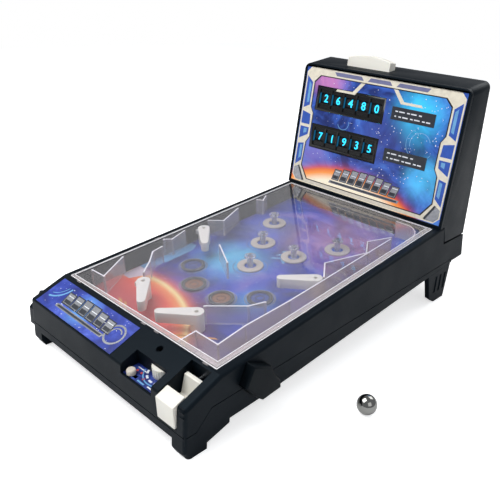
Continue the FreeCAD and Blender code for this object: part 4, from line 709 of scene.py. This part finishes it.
glass_bars = slanted_bars(-47, 21, 8, 12.6, 9.4, (13, 15.5, 17.5, 18.5, 18.5, 17.5, 15.5, 13), 4.5)
decal("backglass_bar_backs", FACE, grown(glass_bars, 1.1), GLASS, dark_ink)
decal("backglass_bars", FACE, glass_bars, GLASS + LIFT, steel_ink)
bar_feet = slanted_bars(-46.4, 22, 8, 12.6, 8.2, (4.5, 5.5, 6.5, 7, 7, 6.5, 5.5, 4.5), 4.5)
decal("backglass_bar_feet", FACE, bar_feet, GLASS + 2 * LIFT, dark_ink, lift=THIN)
bar_lights = slanted_bars(-42.4, 31.5, 8, 12.6, 7.4, (0.9,), 4.5)
decal("backglass_bar_lights", FACE, bar_lights, GLASS + 2 * LIFT, white_ink, lift=THIN)
decal("backglass_band", FACE, [[(-52, 14.5), (56, 14.5), (58, 18.5), (-50, 18.5)]], GLASS, steel_ink)
decal("backglass_band_core", FACE, [[(-49, 15.5), (54, 15.5), (55, 17.5), (-48, 17.5)]], GLASS + LIFT,
      dark_ink)
decal("backglass_rings", FACE, [arc(70, 92, 14, 0.9, 20, 200), arc(70, 92, 19, 0.6, 120, 330),
                                arc(-44, 96, 9, 0.7, 200, 20 + 360)], GLASS, sky_ink)

# Label plates: plain rows of short dashes
LABEL_LEVEL = -0.3
dashes = []
for base in (114.5, 63):
    for row, count in ((9.6, 7), (3.6, 9)):
        for number in range(count):
            width = 2.2 + 1.6 * ((number * 7 + count) % 3)
            x = 29 + 5.4 * number
            dashes.append(rectangle(x, base + row, x + width, base + row + 1.5))
decal("label_dashes", FACE, dashes, LABEL_LEVEL, white_ink)

# Sloping front: a deep blue strip with a crescent, silver bars and a ring
STRIP = 0.4
front_bars = slanted_bars(-82, 15, 6, 13.4, 10.4, (12, 13.5, 15, 15, 13.5, 12), -4)
decal("front_bar_backs", APRON, grown(front_bars, 1.2), STRIP, dark_ink)
decal("front_bars", APRON, front_bars, STRIP + LIFT, steel_ink)
bar_feet = slanted_bars(-81.4, 15.8, 6, 13.4, 9.2, (4, 4.6, 5.2, 5.2, 4.6, 4), -4)
decal("front_bar_feet", APRON, bar_feet, STRIP + 2 * LIFT, dark_ink, lift=THIN)
bar_lights = slanted_bars(-83.2, 23.6, 6, 13.4, 8.6, (0.8,), -4)
decal("front_bar_lights", APRON, bar_lights, STRIP + 2 * LIFT, white_ink, lift=THIN)
decal("front_band", APRON, [[(-86, 8), (-8, 8), (-7, 12), (-85, 12)]], STRIP, steel_ink)
decal("front_band_core", APRON, [[(-83, 9), (-10, 9), (-9.4, 11), (-82.4, 11)]], STRIP + LIFT, dark_ink)
decal("front_ring", APRON, ring(2, 18, 11.5, 2.0) + [arc(2, 18, 7.5, 1.4, 30, 200)], STRIP, steel_ink)
decal("front_crescent", APRON, [arc(-108, 34, 22, 2.0, 278, 352), arc(-108, 34, 17, 0.8, 282, 348)], STRIP,
      sky_ink)

# Recess floor: dots and ticks that show the settings of the knob and the wheel
LEGEND = -20.1
WHEEL = (63, -14.9)
decal("setting_dots", DECK, [disc(42.5, -27.6, 1.3), disc(48.5, -27.6, 1.3), disc(56, -31.5, 1.4)], LEGEND,
      red_ink)
ticks = [arc(*WHEEL, 15.5, 2.0, start, start + 17) for start in (205, 232, 259, 286)]
decal("setting_ticks", DECK, ticks + [rectangle(39.5, -24.8, 51.5, -23.8), rectangle(66, -35.8, 74, -34.4)],
      LEGEND, white_ink)
decal("setting_marks", DECK, [arc(*WHEEL, 18.6, 1.2, 205, 303), rectangle(53, -36.4, 62, -34.9)], LEGEND,
      sky_ink)

# Play floor: the pale launching lane, side stripes, arrows and rings
decal("lane_print", DECK, [[(59, 7.5), (106.8, 7.5), (106.8, 345), (88.5, 345), (88.5, 300), (87.6, 118),
                            (85.3, 64), (82, 29.5), (59, 29.5)]], FLOOR_LEVEL, pink_ink)
decal("lane_lines", DECK, [[(91, 40), (92, 40), (93, 300), (92, 300)],
                           [(101, 40), (102, 40), (102, 300), (101, 300)]],
      FLOOR_LEVEL + LIFT, lilac_ink, lift=0.05)
decal("side_stripes", DECK, [[(-107, 84), (-99, 84), (-92, 112), (-92, 150), (-98, 160), (-107, 160)]],
      FLOOR_LEVEL, sky_ink)
decal("side_stripes_pale", DECK, [[(-107, 60), (-94, 60), (-84, 80), (-90, 84), (-107, 84)]], FLOOR_LEVEL,
      pink_ink)
arrows = []
for along in (196, 206, 216):
    arrows.append([(-10, along), (0, along + 7), (10, along), (10, along + 4), (0, along + 11),
                   (-10, along + 4)])
decal("floor_arrows", DECK, arrows, FLOOR_LEVEL, sky_ink)
orbits = []
for x, y, level in BUMPERS:
    orbits += ring(x, y, 20, 0.7, 10)
decal("bumper_orbits", DECK, orbits, FLOOR_LEVEL, lilac_ink)
halos = []
for x, y, level in DISHES:
    halos += ring(x, y, 16.4, 1.0)
decal("dish_halos", DECK, halos, FLOOR_LEVEL, steel_ink)
decal("bumper_centres", DECK, [disc(x, y, 6.9) for x, y, level in BUMPERS], FLOOR_LEVEL, blue_ink)
decal("flipper_lanes", DECK, [[(-70, 30), (-64, 30), (-30, 8), (-36, 8)],
                              [(-60, 30), (-56, 30), (-24, 8), (-28, 8)],
                              [(56, 50), (60, 50), (24, 26), (20, 26)]], FLOOR_LEVEL, amber_ink)

# Small round prints scattered as stars, from a fixed seed
chance = random.Random(11)


def scattered(name, plane, level, count, low, high, sizes, clear_of=()):
    """White stars at chance places inside a rectangle of a plane, clear of some boxes."""
    places = []
    while len(places) < count:
        x, y = chance.uniform(low[0], high[0]), chance.uniform(low[1], high[1])
        if not any(left < x < right and bottom < y < top for left, bottom, right, top in clear_of):
            places.append((x, y, level))
    star = shaped("star", lambda work: slab(work, disc(0, 0, 0.5, 6), 0, LIFT), MILLIMETRES)
    repeated(name, plane, places, star, white_ink, sizes)


scattered("floor_stars", DECK, FLOOR_LEVEL, 170, (-82, 70), (82, 335), (0.35, 1.1))
scattered("backglass_stars", FACE, GLASS, 150, (-92, 40), (96, 146), (0.4, 1.4),
          ((-98, 51, 17, 91), (-98, 101, 17, 142), (22, 61, 85, 80), (22, 112, 85, 132)))
scattered("front_stars", APRON, STRIP, 60, (-108, 3), (14, 35), (0.35, 1.1))

# Score numbers: bent round each drum. Each row has a name, the foot of its window and its numbers.
DRUM_DEPTH = 24.9
DRUM_RADIUS = 20
DRUM_MIDDLE = 16
CELL_PITCH = 20
SCORE_ROWS = (("upper", 105.5, (2, 6, 4, 8, 0)), ("lower", 55, (7, 1, 9, 3, 5)))


def numeral(number):
    """The outline of a number as a flat mesh about its own middle, ready to bend."""
    words = bpy.data.curves.new("numeral", "FONT")
    words.body = str(number)
    words.size = 16.8
    words.align_x = "CENTER"
    words.align_y = "CENTER"
    words.extrude = 0.1
    words.offset = 0.25
    words.resolution_u = 3
    mesh = evaluated(loose(words))
    work = bmesh.new()
    work.from_mesh(mesh)
    bmesh.ops.remove_doubles(work, verts=work.verts, dist=0.001)
    for level in range(-6, 7, 2):
        bmesh.ops.bisect_plane(work, geom=work.verts[:] + work.edges[:] + work.faces[:],
                               plane_co=(0, level, 0), plane_no=(0, 1, 0))
    work.to_mesh(mesh)
    work.free()
    return mesh


numerals = [numeral(number) for number in range(10)]


def drum_numbers(name, x, height, shown, body):
    """Ten numbers round a drum, with the shown one in front."""

    def build(work):
        for number, mesh in enumerate(numerals):
            first = len(work.verts)
            work.from_mesh(mesh)
            work.verts.ensure_lookup_table()
            for corner in work.verts[first:]:
                turn = math.radians(36) * (shown - number) + corner.co.y * 0.86 / DRUM_RADIUS
                reach = DRUM_RADIUS + 0.05 + corner.co.z + 0.1
                corner.co = (x + corner.co.x * 0.82, height + reach * math.sin(turn),
                             -(DRUM_DEPTH - reach * math.cos(turn)))

    return piece(name, shaped(name, build, FACE), digit_light, body)


for row, low, fronts in SCORE_ROWS:
    for number, shown in enumerate(fronts):
        x = -80.5 + CELL_PITCH * number
        body = "%s_score_%d" % (row, number + 1)
        drum_numbers(body + "_numbers", x, low + DRUM_MIDDLE, shown, body)

# Painted shade: dark plates in front of the drums stand in for the shade over the numbers round each drum, so
# only the number in the middle of each cell shows
shade_masks = []
for row, low, fronts in SCORE_ROWS:
    for foot, head in ((0.4, 10.0), (23.2, 31.6)):
        shade_masks.append(rectangle(-93.6, low + foot, 12.6, low + head))
decal("score_masks", FACE, shade_masks, -3.6, window_plastic, lift=1.0)

# Lamp light on the left wall of each score cell
lamp_light, tree, shader = surface("styrene_lit_cyan", "0c4a68", 0.4, Emission_Strength=0.22)
shader.inputs["Emission Color"].default_value = tone("1a9fdc")
grain(tree, shader, 1.0, 0.05)
glows = []
for row, low, fronts in SCORE_ROWS:
    for number in range(len(fronts)):
        x = -89.4 + CELL_PITCH * number
        glows.append(rectangle(x, low + 9, x + 0.7, low + 23))
decal("cell_glows", FACE, glows, -4.4, lamp_light, lift=2.4)

# Cover: a frosted margin where it lies on the case, painted highlight lines along the margin, and clip tabs
COVER = 0
COVER_MIDDLE = 176
cover_out = rectangle(-111.1, 2.6, 111.1, 349.5)
cover_in = [(-109.6, 6.2), (104.6, 9.8), (104.6, 347.6), (-109.6, 347.6)]
frame_band("cover_margin", DECK, cover_out, cover_in, COVER, band_plastic, lift=0.1)
# Painted highlight: thin white lines along the outer and inner edges of the margin
for name, outline, level, lift in (("cover_outer_line", cover_out, COVER + 0.1, 0.06),
                                   ("cover_inner_line", cover_in, COVER + 0.02, 0.1)):
    frame_band(name, DECK, outline, shrunk(outline, COVER_MIDDLE, 0.995, 0.9965), level, painted_edge_highlight, lift)


def brick(work, x, y, z, length, width, height):
    slab(work, rectangle(x, y, x + length, y + width), z, z + height)


def cover_clips(work):
    for x in (-96, 12, 31, 96):
        brick(work, x, 0.4, -1.6, 6, 2.6, 2.2)
    for y in (110, 235):
        brick(work, 109.8, y, -1.6, 2.4, 8, 2.2)
        brick(work, -112.2, y, -1.6, 2.4, 8, 2.2)


piece("cover_clips", shaped("cover_clips", cover_clips, DECK), band_plastic)

# Guides: upright ribs at their corners, and painted highlight strips along their tops
GUIDE_TOP = -2.4


def well_mark(share_x, share_y):
    return share_x * HALF, FRONT + share_y * LENGTH


guide_lines = (
    ((0.527, 0.006), (0.527, 0.063), (0.795, 0.063), (0.776, 0.166), (0.8, 0.336), (0.808, 0.852)),
    ((0.77, 0.505), (0.609, 0.574), (0.805, 0.723)),
    ((0.807, 0.71), (0.66, 0.785), (0.79, 0.864)),
    ((-0.985, 0.057), (-0.8, 0.06), (-0.985, 0.169)),
    ((-0.985, 0.335), (-0.924, 0.355), (-0.985, 0.425)),
    ((-0.985, 0.538), (-0.85, 0.573), (-0.975, 0.682)),
    ((-0.985, 0.79), (-0.915, 0.802), (-0.985, 0.84)),
    ((-0.87, 0.298), (-0.85, 0.256), (-0.711, 0.21), (-0.582, 0.157)),
    ((0.3, 0.157), (0.586, 0.239), (0.652, 0.286)),
    ((-0.45, 0.435), (-0.12, 0.371)),
)
corner_places = []
for line in guide_lines:
    for share_x, share_y in line:
        x, y = well_mark(share_x, share_y)
        corner_places.append((x, y, FLOOR_LEVEL))
rib = shaped("rib", lambda work: slab(work, disc(0, 0, 1.32, 10), 0.3, 20.2), MILLIMETRES)
repeated("guide_ribs", DECK, corner_places, rib, guide_plastic)


# Painted highlight: thin white strips along the tops of the guides
def guide_beads(work):
    for line in guide_lines:
        marks = [Vector((*well_mark(*shares), 0)) for shares in line]
        for one, other in zip(marks, marks[1:]):
            along = (other - one).normalized()
            out = Vector((-along.y, along.x, 0)) * 0.62
            slab(work, [tuple((one + out)[:2]), tuple((one - out)[:2]), tuple((other - out)[:2]),
                        tuple((other + out)[:2])], GUIDE_TOP, GUIDE_TOP + 0.2)


piece("guide_beads", shaped("guide_beads", guide_beads, DECK), painted_edge_highlight)

# Flipper hubs: a dark disc down the bore of each, painted shade in the hole
HUB_TOP = -5.3
for name, x, y in (("lower_left", -49, 48), ("lower_right", 34, 48), ("upper_left", -95, 171),
                   ("upper_right", 78, 171)):
    decal(name + "_bore", DECK, [disc(x, y, 2.1)], HUB_TOP, outline_ink, name)

# Dishes: painted highlights, silver rings along the edges of the rims
RIM_TOP = -21.4
edges = []
for x, y, level in DISHES:
    edges += ring(x, y, 14, 0.7) + ring(x, y, 11.3, 0.5)
decal("dish_edges", DECK, edges, RIM_TOP, steel_ink)

# Screws: painted shade in the cross slots of the bumper screws, as dark crosses
SCREW_TOP = -7.2


def cross_slots(work):
    brick(work, -1.7, -0.35, 0, 3.4, 0.7, 0.08)
    brick(work, -0.35, -1.7, 0.01, 0.7, 3.4, 0.08)


repeated("bumper_slots", DECK, [(x, y, SCREW_TOP) for x, y, level in BUMPERS],
         shaped("cross", cross_slots, MILLIMETRES), outline_ink)

# Back: a vent with raised ribs over dark slots, and four screws in dark wells. The slots, the wells and the
# cross slots of the screws are dark prints, painted shade
rear = max((face for face in frame["nodes"]["backbox_rear"].data.polygons if face.normal.y > 0.9),
           key=lambda face: face.area)
across, outward = Vector((-1, 0, 0)), rear.normal.copy()
upward = outward.cross(across)
rear_foot = rear.center + upward * ((0.175 - rear.center.z) / upward.z)
rear_foot.x = 0
BACK = Matrix.Translation(rear_foot) @ Matrix((across, upward, outward)).transposed().to_4x4() @ MILLIMETRES
slots = [(x, y) for y in (-8, 22) for x in range(-39, 40, 6)]
decal("vent_slots", BACK, [rectangle(x - 1.3, y - 11, x + 1.3, y + 11) for x, y in slots], 0, outline_ink)
vent_rib = shaped("vent_rib", lambda work: brick(work, -0.9, -12, 0, 1.8, 24, 1.2), MILLIMETRES)
repeated("vent_ribs", BACK, [(x + 3, y, 0) for x, y in slots[:-1]], vent_rib, case_plastic)
corner_screws = [(x, y) for x in (-104, 104) for y in (-78, 72)]
decal("screw_wells", BACK, [disc(x, y, 4.4) for x, y in corner_screws], 0, outline_ink)
decal("screw_heads", BACK, [disc(x, y, 3.1) for x, y in corner_screws], LIFT, zinc, lift=0.9)
repeated("screw_slots", BACK, [(x, y, 1.02) for x, y in corner_screws],
         shaped("cross", cross_slots, MILLIMETRES), outline_ink)

# Front corners: a rounded pad low on the left side, and three ribs on the front of the right pillar
ACROSS = Matrix(((0, 0, 1, 0), (1, 0, 0, 0), (0, 1, 0, 0), (0, 0, 0, 1))) @ MILLIMETRES


def corner_pad(work):
    outline = [(-231, 18), (-228, 15), (-212, 15), (-209, 18), (-209, 35), (-213, 39), (-228, 39), (-231, 36)]
    slab(work, outline, -128.6, -119.4)
    outer = [edge for edge in work.edges if all(corner.co.z < -128 for corner in edge.verts)]
    bmesh.ops.bevel(work, geom=outer, offset=2.2, segments=4, profile=0.5, affect="EDGES")


piece("corner_pad", shaped("corner_pad", corner_pad, ACROSS), case_plastic)
UPRIGHT = Matrix(((1, 0, 0, 0), (0, 0, -1, 0), (0, 1, 0, 0), (0, 0, 0, 1))) @ MILLIMETRES
decal("pillar_ribs", UPRIGHT, [rectangle(113.6, z, 119.2, z + 1.1) for z in (41, 46, 51)], 231.9,
      case_plastic, lift=0.6)

# Camera at the photograph's angle, from points matched on the case

AZIMUTH, ELEVATION, ROLL = (math.radians(value) for value in (40.94, 21.71, 4.12))
CAMERA_PLACE = (0.4093, -0.4781, 0.3560)
back = Vector((math.sin(AZIMUTH) * math.cos(ELEVATION), -math.cos(AZIMUTH) * math.cos(ELEVATION),
               math.sin(ELEVATION)))
side = (-back).cross(Vector((0, 0, 1))).normalized()
up = side.cross(-back)
right = side * math.cos(ROLL) + up * math.sin(ROLL)
over = up * math.cos(ROLL) - side * math.sin(ROLL)
lens_data = bpy.data.cameras.new("view")
lens_data.lens = 43.52
lens_data.sensor_width = 36
lens_data.shift_x = -0.047
lens_data.shift_y = -0.0444
camera = loose(lens_data)
camera.matrix_world = Matrix.Translation(CAMERA_PLACE) @ Matrix((right, over, back)).transposed().to_4x4()
bpy.context.scene.camera = camera

# Floor, light and world

ground = loose(shaped("ground", lambda work: slab(work, rectangle(-2500, -2500, 2500, 2500), -10, 0),
                      MILLIMETRES))
ground_paint, tree, shader = surface("paper_backdrop_white", "f2f2f2", 0.9)
rays = add(tree, "ShaderNodeLightPath")
lit = add(tree, "ShaderNodeEmission", {"Color": tone("ffffff"), "Strength": 0.63})
both = add(tree, "ShaderNodeAddShader", {0: shader.outputs[0], 1: lit.outputs[0]})
picked = add(tree, "ShaderNodeMixShader", {"Fac": rays.outputs["Is Camera Ray"], 1: shader.outputs[0],
                                           2: both.outputs[0]})
tree.links.new(picked.outputs[0], tree.nodes["Material Output"].inputs["Surface"])
ground.data.materials.append(ground_paint)

world = bpy.data.worlds.new("studio")
bpy.context.scene.world = world
world.use_nodes = True
tree = world.node_tree
backdrop = tree.nodes["Background"]
backdrop.inputs["Color"].default_value = tone("e8ecf2")
backdrop.inputs["Strength"].default_value = 0.45
rays = add(tree, "ShaderNodeLightPath")
plain = add(tree, "ShaderNodeMath", {0: rays.outputs["Is Camera Ray"],
                                     1: rays.outputs["Is Transmission Ray"]}, operation="MAXIMUM")
white = add(tree, "ShaderNodeBackground", {"Color": tone("ffffff"), "Strength": 1.0})
room = add(tree, "ShaderNodeBackground", {"Color": tone("eef1f6"), "Strength": 0.4})
glossy = add(tree, "ShaderNodeMixShader", {"Fac": rays.outputs["Is Glossy Ray"], 1: backdrop.outputs[0],
                                           2: room.outputs[0]})
shown = add(tree, "ShaderNodeMixShader", {"Fac": plain.outputs[0], 1: glossy.outputs[0],
                                          2: white.outputs[0]})
tree.links.new(shown.outputs[0], tree.nodes["World Output"].inputs["Surface"])


def softbox(name, place, aim, size, power):
    """A square soft lamp pointed at a place."""
    data = bpy.data.lights.new(name, "AREA")
    data.size = size
    data.energy = power
    facing = (Vector(place) - Vector(aim)).to_track_quat("Z", "Y").to_matrix().to_4x4()
    loose(data).matrix_world = Matrix.Translation(place) @ facing


softbox("key_lamp", (-0.5, -0.7, 1.5), (0, 0, 0.08), 1.2, 26)
softbox("fill_lamp", (1.3, -0.5, 0.9), (0, 0, 0.08), 1.0, 3.5)
softbox("back_lamp", (0.2, 1.3, 1.3), (0, 0, 0.1), 1.0, 9)

bpy.context.scene.view_settings.view_transform = "Standard"
